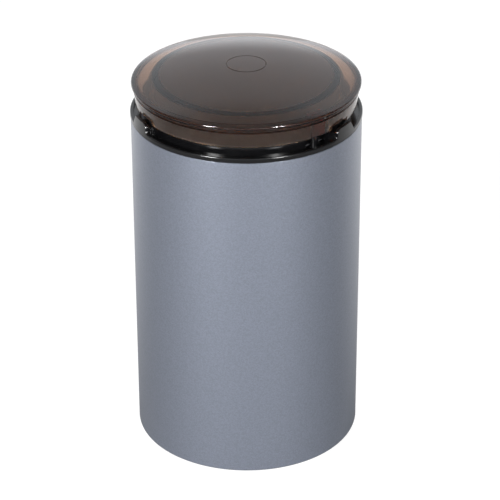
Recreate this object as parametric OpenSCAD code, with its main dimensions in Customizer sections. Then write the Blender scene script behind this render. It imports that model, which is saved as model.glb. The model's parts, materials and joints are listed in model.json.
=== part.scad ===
// Electric spice grinder with a press-to-run lid, in millimetres.
// Z is up, the origin is on the floor under the middle of the body, and the front faces -Y.
// Angles named *_az are measured from the front, anticlockwise seen from above.

/* [Body] */
// Outside diameter of the steel sleeve
body_d = 96; // [92:1:110]
// Height of the steel sleeve
sleeve_h = 146.45; // [144:0.05:170]
// Sheet thickness of the sleeve
sleeve_t = 0.8; // [0.5:0.1:1.2]
// Wall of the moulded inner housing
housing_t = 2; // [1.5:0.1:2.5]
// Radial gap between shells that slide into each other
shell_fit = 0.1; // [0.05:0.05:0.2]
// How far the rubber feet stand proud of the sleeve's lower edge
foot_proud = 1; // [0.6:0.1:3]

/* [Collar] */
// How far the collar stands proud of the sleeve
collar_proud = 0.2; // [0:0.1:0.5]
// Dark joint between the sleeve and the collar
seam_gap = 0.35; // [0.2:0.05:0.6]
// Height of the collar's outer land
land_h = 2; // [1.5:0.1:3]
// Radial width of the outer land
land_w = 1.4; // [1.2:0.1:2.2]
// Depth of the lid groove below the land
groove_depth = 1.2; // [0.8:0.1:1.4]
// Thickness of the guard wall inside the lid's skirt
guard_t = 1.6; // [1.2:0.1:1.8]
// Height of the guard wall above the land
guard_h = 5.7; // [5:0.1:6.5]
// Height of the keying lugs above the land
lug_h = 4.3; // [3.5:0.1:4.5]
// Wall thickness of a lug
lug_t = 1.3; // [1:0.1:1.6]
// Width of a lug at its foot
lug_w = 12.6; // [11:0.2:13]
// Angle of the two front lugs from the front
lug_az = 61.4; // [56:0.2:64]

/* [Lid] */
// Gap under the lid's skirt when nothing presses it
lid_gap = 3.65; // [3.5:0.05:4.5]
// Travel of the lid when pressed
press = 3; // [2.5:0.1:3]
// How far the skirt's lower edge lies inside the sleeve's surface
skirt_inset = 2.2; // [2:0.1:2.4]
// Taper of the skirt on the radius
skirt_taper = 1; // [0.6:0.1:1.1]
// Wall of the skirt
skirt_t = 1.5; // [1.2:0.1:1.6]
// Height of the skirt under the lip
skirt_h = 7.1; // [6.8:0.1:8]
// Height of the rounded lip
lip_h = 2.6; // [2:0.1:3]
// How far the lip stands out past the skirt
lip_out = 0.7; // [0.5:0.1:0.9]
// Rise of the dome above its edge
dome_rise = 6.55; // [4:0.05:9]
// Wall of the dome
dome_t = 2; // [1.6:0.1:2.4]
// Wall of the inner skirt that plugs the bowl
plug_t = 2.2; // [1.6:0.1:2.6]
// How far the inner skirt reaches below the bowl's rim
plug_depth = 2; // [1.5:0.1:3]
// Radius of the plain ring in the middle of the dome
ring_r = 8.15; // [5:0.05:12]
// Angle of the switch tab and the push rod from the front
tab_az = 44; // [36:1:45]
// Width of the switch tab
tab_w = 7.6; // [6:0.2:8]

/* [Bowl and blade] */
// Inside depth of the grinding bowl
bowl_depth = 44; // [40:0.5:48]
// Sheet thickness of the bowl
bowl_t = 0.6; // [0.5:0.1:0.8]
// Width of the bowl's flange
flange_w = 1.6; // [1.4:0.1:2]
// Depth of the bowl's rim below the land
rim_sink = 0.8; // [0.6:0.1:1.2]
// Corner radius of the bowl
bowl_corner = 7; // [4:0.5:10]
// Clearance between the blade's tips and the bowl
tip_gap = 5.5; // [4:0.5:8]
// Width of a blade wing at its root
blade_w = 12; // [10:0.5:14]
// Thickness of the blade
blade_t = 1.6; // [1.2:0.1:2]
// Upward bend of the wings
blade_bend = 20; // [10:1:24]

/* [Push rod and switch] */
// Diameter of the push rod
rod_d = 3.2; // [2.8:0.1:3.4]
// Wall left between the rod and the inner housing
rod_wall_gap = 0.9; // [0.8:0.1:1.2]
// Radial running clearance of the rod, the lever and the plunger
run_fit = 0.05; // [0.03:0.01:0.08]
// Wire diameter of the return spring
spring_wire = 0.5; // [0.4:0.05:0.6]
// Thickness of the microswitch
switch_t = 6.4; // [6:0.1:6.8]
// Height of the microswitch
switch_h = 10; // [9:0.5:11]

/* [Motor] */
// Diameter of the motor shaft
shaft_d = 5; // [4.5:0.1:5.5]
// Width of the stator across the coils
stator_w = 56; // [54:1:58]
// Depth of the stator
stator_d = 46; // [44:1:50]
// Height of the lamination stack
stack_h = 24; // [20:1:26]
// Diameter of the armature
armature_d = 27.4; // [26:0.2:28]
// Air gap between the armature and the poles
air_gap = 0.5; // [0.4:0.05:0.6]
// Diameter of the cooling fan
fan_d = 38; // [32:1:40]
// Outside diameter of the sintered bearings
bearing_d = 11; // [10:0.5:12]

/* [Base] */
// Thickness of the base cover
cover_t = 2.8; // [2.4:0.1:3.2]
// Diameter of a rubber foot
foot_d = 10; // [8:0.5:12]
// Distance of the feet's middles from the housing's inner wall
foot_inset = 10.1; // [9:0.1:14]
// Diameter of the cord that the inlet takes
cord_d = 6.4; // [5:0.1:7]
// Width of the cord inlet
inlet_w = 12; // [11:0.5:14]
// Height of the cord inlet
inlet_h = 10; // [9:0.5:12]

/* [Hidden] */
$fn = 96;
eps = 0.01;

// Radii, worked inwards from the sleeve
body_r = body_d / 2;
sleeve_in_r = body_r - sleeve_t;
housing_out_r = sleeve_in_r - shell_fit;
housing_in_r = housing_out_r - housing_t;
collar_r = body_r + collar_proud;
land_in_r = collar_r - land_w;
spigot_r = housing_in_r - shell_fit;
spigot_t = 1.8;
skirt_low_r = body_r - skirt_inset;
skirt_high_r = skirt_low_r + skirt_taper;
skirt_in_r = skirt_low_r - skirt_t;
guard_gap = 0.7;
guard_out_r = skirt_in_r - guard_gap;
guard_in_r = guard_out_r - guard_t;
rod_r = rod_d / 2;
rod_pos_r = housing_in_r - rod_wall_gap - rod_r;
flange_gap = 0.3;
flange_r = rod_pos_r - rod_r - flange_gap;
bowl_out_r = flange_r - flange_w;
bowl_in_r = bowl_out_r - bowl_t;
shelf_in_r = bowl_out_r + 0.4;
plug_gap = 0.4;
plug_r = bowl_in_r - plug_gap;

// Heights of the body and the collar
hem_t = sleeve_t;
z_sleeve = foot_proud;
z_sleeve_top = z_sleeve + sleeve_h;
z_land_bot = z_sleeve_top + seam_gap;
z_land = z_land_bot + land_h;
z_groove = z_land - groove_depth;
z_lug = z_land_bot + 0.5;
lug_step = 0.02;
lug_sink = 0.12;
z_key = z_land + lug_h - 1.8;
z_rim = z_land - rim_sink;
gasket_t = 0.8;
z_shelf = z_rim - bowl_t - gasket_t;
shelf_t = 2;

// Heights of the lid
z_skirt = z_land + lid_gap;
z_lip = z_skirt + skirt_h;
z_edge = z_lip + lip_h;
z_crown = z_edge + dome_rise;
edge_r = skirt_high_r + 0.1;
dome_r = (edge_r * edge_r + dome_rise * dome_rise) / (2 * dome_rise);
z_dome = z_crown - dome_r;
lip_r = skirt_high_r + lip_out;
z_plug = z_rim - plug_depth;
seal_h = 2;
seal_groove = 0.6;
z_seal = z_rim + press + 0.3;
seal_r = bowl_in_r + 1.8;
notch_w = lug_w + 0.2;
notch_turn = 2.3;
notch_top = z_skirt + 2.15;

// Heights of the bowl and the carrier under it
z_floor = z_rim - bowl_depth;
z_seat = z_floor - bowl_t;
hub_h = 3.4;
z_disc = z_seat - hub_h;
disc_t = 3;
z_carrier = z_disc - disc_t;
carrier_r = housing_in_r - 0.3;
hub_r = 10;
neck_r = 6.5;
neck_h = 3.6;
hub_drop = 3;
rib_t = 1.6;
rib_out_r = bowl_out_r - bowl_corner;
seal_bore_r = 4.5;
post_az = [tab_az + 60, tab_az + 180, tab_az + 300];
post_r = (carrier_r - bowl_out_r - 0.9) / 2;
post_pos_r = (carrier_r + bowl_out_r + 0.3) / 2;
post_top = z_shelf - shelf_t - 4.6;
spigot_len = z_land_bot - post_top - 0.3;
screw_r = 1.25;
screw_head_r = 2.4;
screw_head_t = 1.5;

// Push rod, its guides and its spring
guide_w = 8;
guide_len = 19.6;
z_guide = z_groove - guide_len;
clip_t = 1;
clip_r = rod_r + 0.75;
lower_guide_r = carrier_r - rod_pos_r - 0.1;
lower_guide_h = 2;
spring_r = rod_r + 0.2 + spring_wire / 2;
rod_top = z_skirt - 0.2;
spring_low = z_disc + lower_guide_h;
spring_high = z_guide - 0.05 - clip_t;
spring_turns = 8;

// Microswitch: the lever hinges at pivot_x and the rod presses it at x = 0
lever_arm = 10;
lever_len = 14;
lever_rise = 20;
leaf_t = 0.6;
lever_gap = 0.3;
pin_r = 0.5;
eye_r = 1;
rod_rest = (rod_r + lever_gap + leaf_t / 2 + lever_arm * sin(lever_rise)) / cos(lever_rise);
z_pivot = z_carrier - lever_len * sin(lever_rise) - leaf_t - 0.7;
rod_tip = z_pivot + rod_rest - rod_r;
pivot_x = -lever_arm;
z_switch_top = z_pivot - 1.3;
z_switch = z_switch_top - switch_h;
switch_out_r = rod_pos_r + 0.4;
switch_in_r = switch_out_r - switch_t;
switch_x0 = pivot_x - 1.2;
switch_len = 19.8;
switch_holes = [switch_x0 + 5, switch_x0 + 14.5];
lever_out_r = rod_pos_r + 0.6;
lever_w = 3.2;
lever_in_r = lever_out_r - lever_w;
ear_t = 1.2;
plunger_x = pivot_x + 3.5;
plunger_r = 0.8;
plunger_pos_r = lever_out_r - lever_w / 2;
plunger_top = z_pivot + 0.46;
plunger_len = 4.8;
plate_t = 2;
plate_in_r = switch_in_r - plate_t;
tab_len = 6;
z_tab_low = z_switch - tab_len;

// Motor, hung from the carrier and worked downwards
shaft_r = shaft_d / 2;
bearing_r = bearing_d / 2;
bearing_h = 7;
damper_h = 4.4;
z_plate = z_carrier - damper_h;
bar_t = 3;
boss_wall = 2.5;
boss_r = bearing_r + boss_wall;
boss_drop = 9.6;
z_boss = z_plate - boss_drop;
z_fan_top = z_boss - 1;
fan_h = 7;
z_fan = z_fan_top - fan_h;
z_stack_top = z_fan - 7;
z_stack = z_stack_top - stack_h;
winding_h = 5.4;
comm_r = 7.5;
comm_len = 11;
riser_t = 1.6;
z_comm_top = z_stack - winding_h;
z_comm = z_comm_top - riser_t - comm_len;
z_low_boss_top = z_comm - 2;
z_low_plate = z_low_boss_top - 5;
z_low_boss = z_low_boss_top - 11;
z_shaft = z_low_boss + 0.6;
bore_r = armature_d / 2 + air_gap;
leg_x = stator_w / 2 - 3;
leg_w = 6;
leg_d = 10;
bolt_r = 1.6;
bolt_fit = 0.1;
bolt_head_r = 3;
bolt_head_t = 1.6;
damper_x = 27;
damper_y = 8;
damper_r = 4;
bar_edge_x = 5;
bar_edge_y = 4;
bar_corner = 3;
low_bar_w = 14;
pole_w = 16;
yoke_t = 6;
shoe_t = 3;
shoe_angle = 58;
coil_gap = 0.3;
coil_t = stator_w / 2 - yoke_t - bore_r - shoe_t - 2 * coil_gap;
coil_wall = 5;
coil_corner = 5;
yoke_corner = 8;
window_corner = 4;
slot_count = 12;
slot_ring = 10.3;
slot_r = 1.7;

// Blade stack on the shaft
hub_seat = z_floor + neck_h + 0.3;
drive_hub_r = 5;
drive_hub_h = 3.4;
z_blade = hub_seat + drive_hub_h;
nut_h = 4;
nut_r = 4.6;
blade_r = bowl_in_r - tip_gap;
blade_root = 11;
z_shaft_top = z_blade + blade_t + nut_h - 0.5;

// Base
z_cover_top = z_sleeve + cover_t;
hem_in_r = housing_in_r - 0.2;
cover_rim_h = 5.6;
cover_rim_t = 1.5;
base_az = [0, 120, 240];
base_boss_r = 3.6;
base_boss_pos = housing_in_r - 4.8;
base_post_h = 6;
base_screw_r = 1.5;
foot_pocket = 1.4;
foot_ring = housing_in_r - foot_inset;
foot_az = [45, 135, 225, 315];
vent_w = 2;
vent_len = 14;
vent_out_r = foot_ring - foot_d / 2 - 6;
rim_vent_len = 9;
rim_vent_out_r = hem_in_r - 5.9;
z_inlet = z_cover_top + cover_rim_h + 1.6;
inlet_flange = 2;
brush_w = 5.2;
brush_z = z_comm + 1.4;
holder_wall = 1.2;
brush_len = 8;
brush_gap = 0.3;
brush_fit = 0.1;
brush_spring_r = 1.8;
brush_wire = 0.25;
holder_in = 9.6;
holder_out = 23;
holder_w = 8;
holder_h = 7.6;
block_az = 150;
block_r = housing_in_r - 12.1;
block_w = 14;
block_d = 9;
block_h = 9;
block_hole_x = 3.5;
block_screw_r = 1.6;
block_entry_r = 1.2;
cap_az = 212;
cap_w = 16;
cap_d = 7;
cap_h = 11;

// Internal leads: stops on the way of each, as [angle from the front, radius, height]
lead_r = 0.8;
z_block_top = z_cover_top + block_h;
lead_wall_r = housing_in_r - 3.1;
stack_out_r = norm([stator_w / 2, stator_d / 2]) - 3;
tabs_x = [switch_x0 + 2, switch_x0 + 10, switch_x0 + 17];
tab_pos_r = switch_out_r - 2.7;
tab_start_az = tab_az + atan(tabs_x[0] / tab_pos_r);
tab_start_r = norm([tabs_x[0], tab_pos_r]);
tab_end_az = tab_az + atan(tabs_x[2] / tab_pos_r);
tab_end_r = norm([tabs_x[2], tab_pos_r]);
coil_x = bore_r + shoe_t + coil_gap + coil_t / 2;
coil_y = pole_w / 2 + coil_gap + coil_wall;
coil_end_az = atan(coil_x / (coil_y + 0.3));
coil_end_r = norm([coil_x, coil_y + 0.3]);

// ---------- helpers ----------

// Puts children, drawn round the origin, at an angle from the front and a radius
module around(az, r = 0) {
    rotate([0, 0, az]) translate([0, -r, 0]) children();
}

// A straight-walled ring
module ring(r_out, r_in, z, h) {
    difference() {
        translate([0, 0, z]) cylinder(r = r_out, h = h);
        translate([0, 0, z - 1]) cylinder(r = r_in, h = h + 2);
    }
}

// An upright peg or hole
module peg(r, z, h) {
    translate([0, 0, z]) cylinder(r = r, h = h, $fn = 48);
}

// A box given by its corner and size, centred on X
module slab(w, d, h, y = 0, z = 0) {
    translate([-w / 2, y, z]) cube([w, d, h]);
}

// A flat shape in X and Z, pushed out towards the front from radius r0 to r1
module radial(r0, r1) {
    translate([0, -r0, 0]) rotate([90, 0, 0]) linear_extrude(r1 - r0) children();
}

// Points of an arc
function arc(cx, cy, r, a0, a1, n = 6) =
    [for (i = [0 : n]) let (a = a0 + (a1 - a0) * i / n) [cx + r * cos(a), cy + r * sin(a)]];

// Outline of a lug, seen from outside: a slanted end, and an S-shaped end that faces the front
function lug_outline(w, foot, top, low) =
    let (round_r = 2.2, flare = 1.5, side = w / 2)
    concat([[-side - 0.3, low], [-side - 0.3, foot], [-side + 2.8, top]],
           arc(side - round_r, top - round_r, round_r, 90, 0),
           arc(side + flare, foot + flare, flare, 180, 270, 5),
           [[side + flare, low]]);

// Outline of a lid notch, seen from outside: an upright end and an S-shaped end
function notch_outline(w, foot, top) =
    let (round_r = 1.1, flare = 1.1, side = w / 2 - 0.6)
    concat([[-w / 2, foot - 2], [-w / 2, foot], [-w / 2 + 0.4, top]],
           arc(side - round_r, top - round_r, round_r, 90, 0, 4),
           arc(side + flare, foot + flare, flare, 180, 270, 4),
           [[side + flare, foot - 2]]);

// ---------- shells ----------

module outer_sleeve() color("slategray") difference() {
    rotate_extrude() polygon(concat(
        [[hem_in_r, z_sleeve]],
        arc(body_r - 0.4, z_sleeve + 0.4, 0.4, 270, 360, 4),
        [[body_r, z_sleeve_top], [sleeve_in_r, z_sleeve_top], [sleeve_in_r, z_sleeve + hem_t],
         [hem_in_r, z_sleeve + hem_t]]));
    around(180) slab(inlet_w + 2 * shell_fit, body_r * 2, inlet_h + 2 * shell_fit,
                     -body_r * 2 - 10, z_inlet - shell_fit);
}

module inner_housing() color("dimgray") difference() {
    union() {
        ring(housing_out_r, housing_in_r, z_cover_top, z_land_bot - z_cover_top);
        for (az = base_az) around(az, base_boss_pos) {
            peg(base_boss_r, z_cover_top + base_post_h, 15);
            slab(3, housing_in_r + 0.5 - base_boss_pos, 15, base_boss_pos - housing_in_r - 0.5,
                 z_cover_top + base_post_h);
        }
    }
    for (az = base_az) around(az, base_boss_pos)
        peg(base_screw_r, z_cover_top + base_post_h - 1, 14);
    around(180) slab(inlet_w + 2 * shell_fit, body_r * 2, inlet_h + 2 * shell_fit,
                     -body_r * 2 - 10, z_inlet - shell_fit);
}

// The lug and, behind it, the key block that enters the lid's notch
module lug_set(side) {
    mirror([side > 0 ? 1 : 0, 0, 0]) {
        intersection() {
            ring(collar_r - lug_step, collar_r - lug_step - lug_t, z_lug, land_h + lug_h);
            radial(land_in_r - 4, collar_r + 2)
                polygon(lug_outline(lug_w, z_land - lug_sink, z_land + lug_h, z_land_bot));
        }
        intersection() {
            ring(collar_r - lug_t / 2, guard_out_r - guard_t / 2, z_lug, z_key - z_lug);
            around(notch_turn) slab(notch_w - 4, body_r, land_h * 4, -body_r - 2, z_land_bot);
        }
    }
}

module collar() color([0.05, 0.05, 0.055]) difference() {
    union() {
        rotate_extrude() polygon(concat(
            [[spigot_r - spigot_t, z_land_bot - spigot_len], [spigot_r, z_land_bot - spigot_len],
             [spigot_r, z_land_bot], [collar_r, z_land_bot]],
            arc(collar_r - 0.4, z_land - 0.4, 0.4, 0, 90, 4),
            [[land_in_r, z_land], [land_in_r, z_groove], [guard_out_r, z_groove],
             [guard_out_r, z_land + guard_h], [guard_in_r, z_land + guard_h],
             [guard_in_r, z_shelf], [shelf_in_r, z_shelf], [shelf_in_r, z_shelf - shelf_t],
             [spigot_r - spigot_t, z_shelf - shelf_t]]));
        rotate([0, 0, -lug_az]) lug_set(-1);
        rotate([0, 0, lug_az]) lug_set(1);
        rotate([0, 0, 180]) lug_set(-1);
        intersection() {
            ring(spigot_r - 0.4, shelf_in_r + 0.1, z_guide, z_shelf - 1 - z_guide);
            around(tab_az) slab(guide_w, body_r, guide_len, -body_r, z_guide);
        }
        for (az = post_az) around(az, post_pos_r) peg(post_r, post_top, z_shelf - 1 - post_top);
    }
    around(tab_az, rod_pos_r) peg(rod_r + run_fit, z_guide - 1, guide_len + 20);
    around(tab_az) slab(tab_w + 3, body_r, guard_h + 10, -guard_out_r - 1.2, z_groove - 0.3);
    for (az = post_az) around(az, post_pos_r) peg(screw_r, post_top - 1, 6);
}

module base_cover() color([0.08, 0.08, 0.085]) difference() {
    union() {
        disc(hem_in_r - shell_fit, z_sleeve, cover_t);
        disc(housing_out_r, z_sleeve + hem_t, cover_t - hem_t);
        ring(spigot_r, spigot_r - cover_rim_t, z_cover_top - eps, cover_rim_h + eps);
        for (az = base_az) around(az, base_boss_pos) peg(base_boss_r, z_cover_top - eps, base_post_h + eps);
    }
    for (az = base_az) around(az, base_boss_pos) {
        peg(screw_head_r + 0.4, z_sleeve - 1, 5);
        peg(base_screw_r + 0.1, z_sleeve, 12);
    }
    for (az = foot_az) around(az, foot_ring) peg(foot_d / 2 + 0.1, z_sleeve - 1, foot_pocket + 1);
    for (i = [0 : 11]) around(i * 30 + 15) slab(vent_w, vent_len, cover_t + 2, -vent_out_r, z_sleeve - 1);
    for (az = [15, 75, 90, 105, 165, 195, 255, 270, 285, 345])
        around(az) slab(vent_w, rim_vent_len, cover_t + 2, -rim_vent_out_r, z_sleeve - 1);
}

module disc(r, z, h) {
    translate([0, 0, z]) cylinder(r = r, h = h);
}

module feet() color([0.12, 0.12, 0.12]) for (az = foot_az) around(az, foot_ring)
    rotate_extrude($fn = 48) polygon([[0, 0], [foot_d / 2 - 0.5, 0], [foot_d / 2, 0.5],
        [foot_d / 2, foot_proud + foot_pocket], [0, foot_proud + foot_pocket]]);

module cord_gland() color([0.1, 0.1, 0.1]) difference() {
    intersection() {
        union() {
            slab(inlet_w, body_r, inlet_h, housing_in_r - inlet_flange - 1, z_inlet);
            slab(inlet_w + 4, inlet_flange, inlet_h + 1.4, housing_in_r - inlet_flange - 1, z_inlet);
        }
        disc(body_r, z_inlet - 5, inlet_h + 10);
        gland_space();
    }
    translate([0, body_r + 5, z_inlet + inlet_h / 2]) rotate([90, 0, 0])
        cylinder(r = cord_d / 2, h = body_r, $fn = 64);
}

// Keeps the gland's flange inside the curved inner wall
module gland_space() {
    union() {
        disc(housing_in_r - 0.05, z_inlet - 5, inlet_h + 10);
        slab(inlet_w, body_r * 2, inlet_h, 0, z_inlet);
    }
}

// ---------- lid ----------

// Outer radius of the skirt at a height
function skirt_at(z) = skirt_low_r + skirt_taper * (z - z_skirt) / skirt_h;

// Height of the dome's outer or inner surface at a radius
function dome_z(r, inner = 0) = z_dome + sqrt(pow(dome_r - inner, 2) - r * r);

module lid() color([0.35, 0.27, 0.24, 0.6]) difference() {
    union() {
        rotate_extrude($fn = 128) polygon(concat(
            [for (i = [0 : 20]) let (r = edge_r * i / 20) [r, dome_z(r)]],
            arc(lip_r - 0.7, z_edge - 0.75, 0.7, 60, -30, 5),
            [[skirt_high_r + 0.25, z_lip], [skirt_at(z_lip - 0.3), z_lip - 0.3],
             [skirt_low_r + 0.04, z_skirt + 0.3], [skirt_low_r - 0.3, z_skirt],
             [skirt_in_r + 0.2, z_skirt], [skirt_in_r, z_skirt + 0.2],
             [skirt_in_r + skirt_taper, z_lip], [skirt_in_r + skirt_taper - 1, dome_z(skirt_in_r, dome_t)]],
            [for (i = [0 : 4]) let (r = plug_r + 0.6 + (skirt_in_r - 2.4 - plug_r) * (1 - i / 4))
                [r, dome_z(r, dome_t)]],
            [[plug_r, dome_z(plug_r, dome_t) - 0.8], [plug_r, z_seal + seal_h],
             [plug_r - seal_groove, z_seal + seal_h], [plug_r - seal_groove, z_seal],
             [plug_r, z_seal], [plug_r, z_plug + 0.4], [plug_r - 0.4, z_plug],
             [plug_r - plug_t + 0.4, z_plug], [plug_r - plug_t, z_plug + 0.4],
             [plug_r - plug_t, dome_z(plug_r - plug_t, dome_t) - 0.6]],
            [for (i = [0 : 14]) let (r = (plug_r - plug_t - 0.6) * (1 - i / 14))
                [r, dome_z(r, dome_t)]]));
        intersection() {
            ring(skirt_in_r + skirt_t / 2, rod_pos_r - rod_r, z_skirt, z_lip + 1.2 - z_skirt);
            around(tab_az) slab(tab_w, body_r, skirt_h + 4, -body_r, z_skirt);
        }
    }
    for (side = [-1, 1]) rotate([0, 0, side * lug_az]) notch(side);
    rotate([0, 0, 180]) notch(-1);
    rotate_extrude() translate([ring_r - 0.15, dome_z(ring_r) - 0.2]) square([0.3, 1]);
}

module notch(side) {
    mirror([side > 0 ? 1 : 0, 0, 0]) around(notch_turn) radial(guard_out_r + 0.1, body_r + 4)
        polygon(notch_outline(notch_w, z_skirt, notch_top));
}

module lid_seal() color([0.25, 0.25, 0.26])
    rotate_extrude() polygon([[plug_r - seal_groove, z_seal], [seal_r - 0.5, z_seal],
        [seal_r, z_seal + 0.4], [seal_r, z_seal + 1], [plug_r + 0.8, z_seal + seal_h],
        [plug_r - seal_groove, z_seal + seal_h]]);

// ---------- bowl ----------

module grinding_bowl() color([0.75, 0.76, 0.78]) rotate_extrude() polygon(concat(
    [[neck_r + 0.1, z_seat], [bowl_out_r - bowl_corner, z_seat]],
    arc(bowl_out_r - bowl_corner, z_seat + bowl_corner, bowl_corner, 270, 360, 8),
    [[bowl_out_r, z_rim - bowl_t], [flange_r, z_rim - bowl_t], [flange_r, z_rim],
     [bowl_in_r + 0.3, z_rim], [bowl_in_r, z_rim - 0.3]],
    arc(bowl_out_r - bowl_corner, z_seat + bowl_corner, bowl_corner - bowl_t, 360, 270, 8),
    [[neck_r + 0.1, z_floor]]));

module bowl_gasket() color([0.3, 0.3, 0.3]) ring(flange_r, shelf_in_r, z_shelf, gasket_t);

module bowl_clamp_nut() color("silver") difference() {
    translate([0, 0, z_floor]) cylinder(r = hub_r, h = neck_h - 1, $fn = 6);
    peg(neck_r, z_floor - 1, neck_h + 2);
}

module shaft_seal() color([0.2, 0.2, 0.2])
    ring(seal_bore_r, shaft_r + run_fit, z_seat + neck_h - 4.4, 4);

module motor_carrier() color([0.16, 0.16, 0.17]) difference() {
    union() {
        disc(carrier_r, z_carrier, disc_t);
        peg(hub_r, z_carrier - hub_drop, z_seat - z_carrier + hub_drop);
        peg(neck_r, z_seat - eps, neck_h + bowl_t + eps);
        for (az = post_az) around(az, post_pos_r) peg(post_r, z_carrier, post_top - z_carrier);
        for (az = [0 : 60 : 300]) around(az + 14) slab(rib_t, rib_out_r - hub_r + 2, disc_t + hub_h - 1.2,
                                                  -rib_out_r, z_carrier + 1);
        around(tab_az, rod_pos_r) peg(lower_guide_r, z_carrier, disc_t + lower_guide_h);
        around(tab_az) slab(switch_len, plate_t, z_carrier - z_switch + 2, -switch_in_r, z_switch - 1);
    }
    peg(seal_bore_r, z_seat + neck_h - 4.4, 10);
    peg(shaft_r + 0.8, z_carrier - 10, 60);
    for (az = post_az) around(az, post_pos_r) peg(screw_r + 0.1, z_carrier - 1, post_top);
    around(tab_az, rod_pos_r) peg(rod_r + run_fit, z_carrier - 1, 20);
    for (x = switch_holes) around(tab_az) translate([x, -switch_in_r - 1, z_switch + 3])
        rotate([-90, 0, 0]) cylinder(r = screw_r, h = plate_t + 2, $fn = 32);
    for (x = [-1, 1], y = [-1, 1]) translate([x * damper_x, y * damper_y, 0])
        peg(screw_r, z_carrier - 1, disc_t + 2);
    for (az = [90, 270]) around(az, 26) peg(5, z_carrier - 1, disc_t + 2);
}

// A pan-head screw pointing up, with a cross recess in its head
module screw(r, head_r, head_t, len) {
    difference() {
        union() {
            translate([0, 0, -head_t]) cylinder(r = head_r, h = head_t, $fn = 32);
            translate([0, 0, -eps]) cylinder(r = r, h = len + eps, $fn = 32);
        }
        for (a = [0, 90]) rotate([0, 0, a])
            translate([-head_r * 0.6, -0.3, -head_t - 1]) cube([head_r * 1.2, 0.6, 1.8]);
    }
}

module carrier_screws() color("silver") for (az = post_az) around(az, post_pos_r)
    translate([0, 0, z_carrier]) screw(screw_r, post_r - 0.3, screw_head_t, post_top + 4 - z_carrier);

// ---------- push rod and switch ----------

module push_rod() color([0.1, 0.1, 0.1]) around(tab_az, rod_pos_r) {
    difference() {
        peg(rod_r, rod_tip + rod_r, rod_top - rod_tip - rod_r);
        ring(rod_r + 1, rod_r - 0.4, spring_high, clip_t);
    }
    translate([0, 0, rod_tip + rod_r]) intersection() {
        sphere(r = rod_r, $fn = 32);
        translate([0, 0, -rod_r]) cylinder(r = rod_r + 1, h = rod_r + eps);
    }
}

module rod_clip() color("silver") around(tab_az, rod_pos_r) ring(clip_r, rod_r - 0.4, spring_high, clip_t);

// A round wire swept along a helix between two heights
function helix_ring(mean_r, wire_r, z, turn, pitch, sides) =
    let (lean = atan2(pitch, 360 * mean_r * PI / 180))
    [for (s = [0 : sides - 1]) let (a = 360 * s / sides, u = wire_r * cos(a), v = wire_r * sin(a))
        [(mean_r + u) * cos(turn) + v * sin(lean) * sin(turn),
         (mean_r + u) * sin(turn) - v * sin(lean) * cos(turn), z + v * cos(lean)]];

module sweep(rings) {
    n = len(rings);
    m = len(rings[0]);
    polyhedron(
        points = [for (ring = rings) for (p = ring) p],
        faces = concat(
            [[for (s = [0 : m - 1]) s]],
            [for (i = [0 : n - 2], s = [0 : m - 1]) [i * m + s, (i + 1) * m + s, (i + 1) * m + (s + 1) % m]],
            [for (i = [0 : n - 2], s = [0 : m - 1]) [i * m + s, (i + 1) * m + (s + 1) % m, i * m + (s + 1) % m]],
            [[for (s = [m - 1 : -1 : 0]) (n - 1) * m + s]]));
}

module coil_spring(mean_r, wire_r, z0, z1, turns, steps = 12, sides = 6) {
    count = turns * steps;
    low = z0 + wire_r + 0.02;
    high = z1 - wire_r - 0.02;
    pitch = (high - low) / turns;
    sweep([for (i = [0 : count])
        helix_ring(mean_r, wire_r, low + (high - low) * i / count, 360 * i / steps, pitch, sides)]);
}

module rod_spring() color("silver") around(tab_az, rod_pos_r)
    coil_spring(spring_r, spring_wire / 2, spring_low, spring_high, spring_turns);

module microswitch() color([0.1, 0.1, 0.1]) around(tab_az) difference() {
    union() {
        translate([switch_x0, -switch_out_r, z_switch]) cube([switch_len, switch_t, switch_h]);
        translate([switch_x0, -lever_in_r + 0.3, z_switch_top - eps])
            cube([2.4, ear_t, z_pivot + eye_r - z_switch_top]);
    }
    for (x = switch_holes) translate([x, -switch_in_r + 1, z_switch + 3])
        rotate([90, 0, 0]) cylinder(r = screw_r, h = switch_t, $fn = 32);
    translate([pivot_x, -lever_in_r + 3, z_pivot]) rotate([90, 0, 0]) cylinder(r = pin_r, h = 4, $fn = 32);
    translate([plunger_x, -plunger_pos_r, 0]) peg(plunger_r + run_fit, plunger_top - plunger_len - press, 20);
}

module switch_pin() color("silver") around(tab_az)
    translate([pivot_x, -lever_in_r + 0.3 + ear_t, z_pivot]) rotate([90, 0, 0])
        cylinder(r = pin_r, h = ear_t + 0.3 + lever_w, $fn = 32);

module switch_lever() color("silver") around(tab_az) translate([pivot_x, -lever_in_r, z_pivot])
    rotate([0, -lever_rise, 0]) difference() {
        union() {
            rotate([90, 0, 0]) cylinder(r = eye_r, h = lever_w, $fn = 32);
            translate([0, -lever_w, -leaf_t / 2]) cube([lever_len, lever_w, leaf_t]);
        }
        translate([0, 1, 0]) rotate([90, 0, 0]) cylinder(r = pin_r + run_fit, h = lever_w + 2, $fn = 32);
    }

module switch_plunger() color([0.7, 0.15, 0.1]) around(tab_az) translate([plunger_x, -plunger_pos_r, 0])
    peg(plunger_r, plunger_top - plunger_len, plunger_len);

module switch_terminals() color("gold") around(tab_az) for (x = tabs_x)
    translate([x - 1.4, -switch_out_r + 2.4, z_tab_low]) cube([2.8, 0.6, tab_len]);

module switch_screws() color("silver") for (x = switch_holes) around(tab_az)
    translate([x, -plate_in_r, z_switch + 3]) rotate([90, 0, 0])
        screw(screw_r, 2.1, 1.3, plate_t + switch_t - 1.6);

// ---------- motor ----------

// A rectangle with rounded corners, drawn flat
module rounded(w, d, r) {
    union() {
        square([w - 2 * r, d], center = true);
        square([w, d - 2 * r], center = true);
        for (x = [-1, 1], y = [-1, 1]) translate([x * (w / 2 - r), y * (d / 2 - r)]) circle(r = r, $fn = 32);
    }
}

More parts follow.
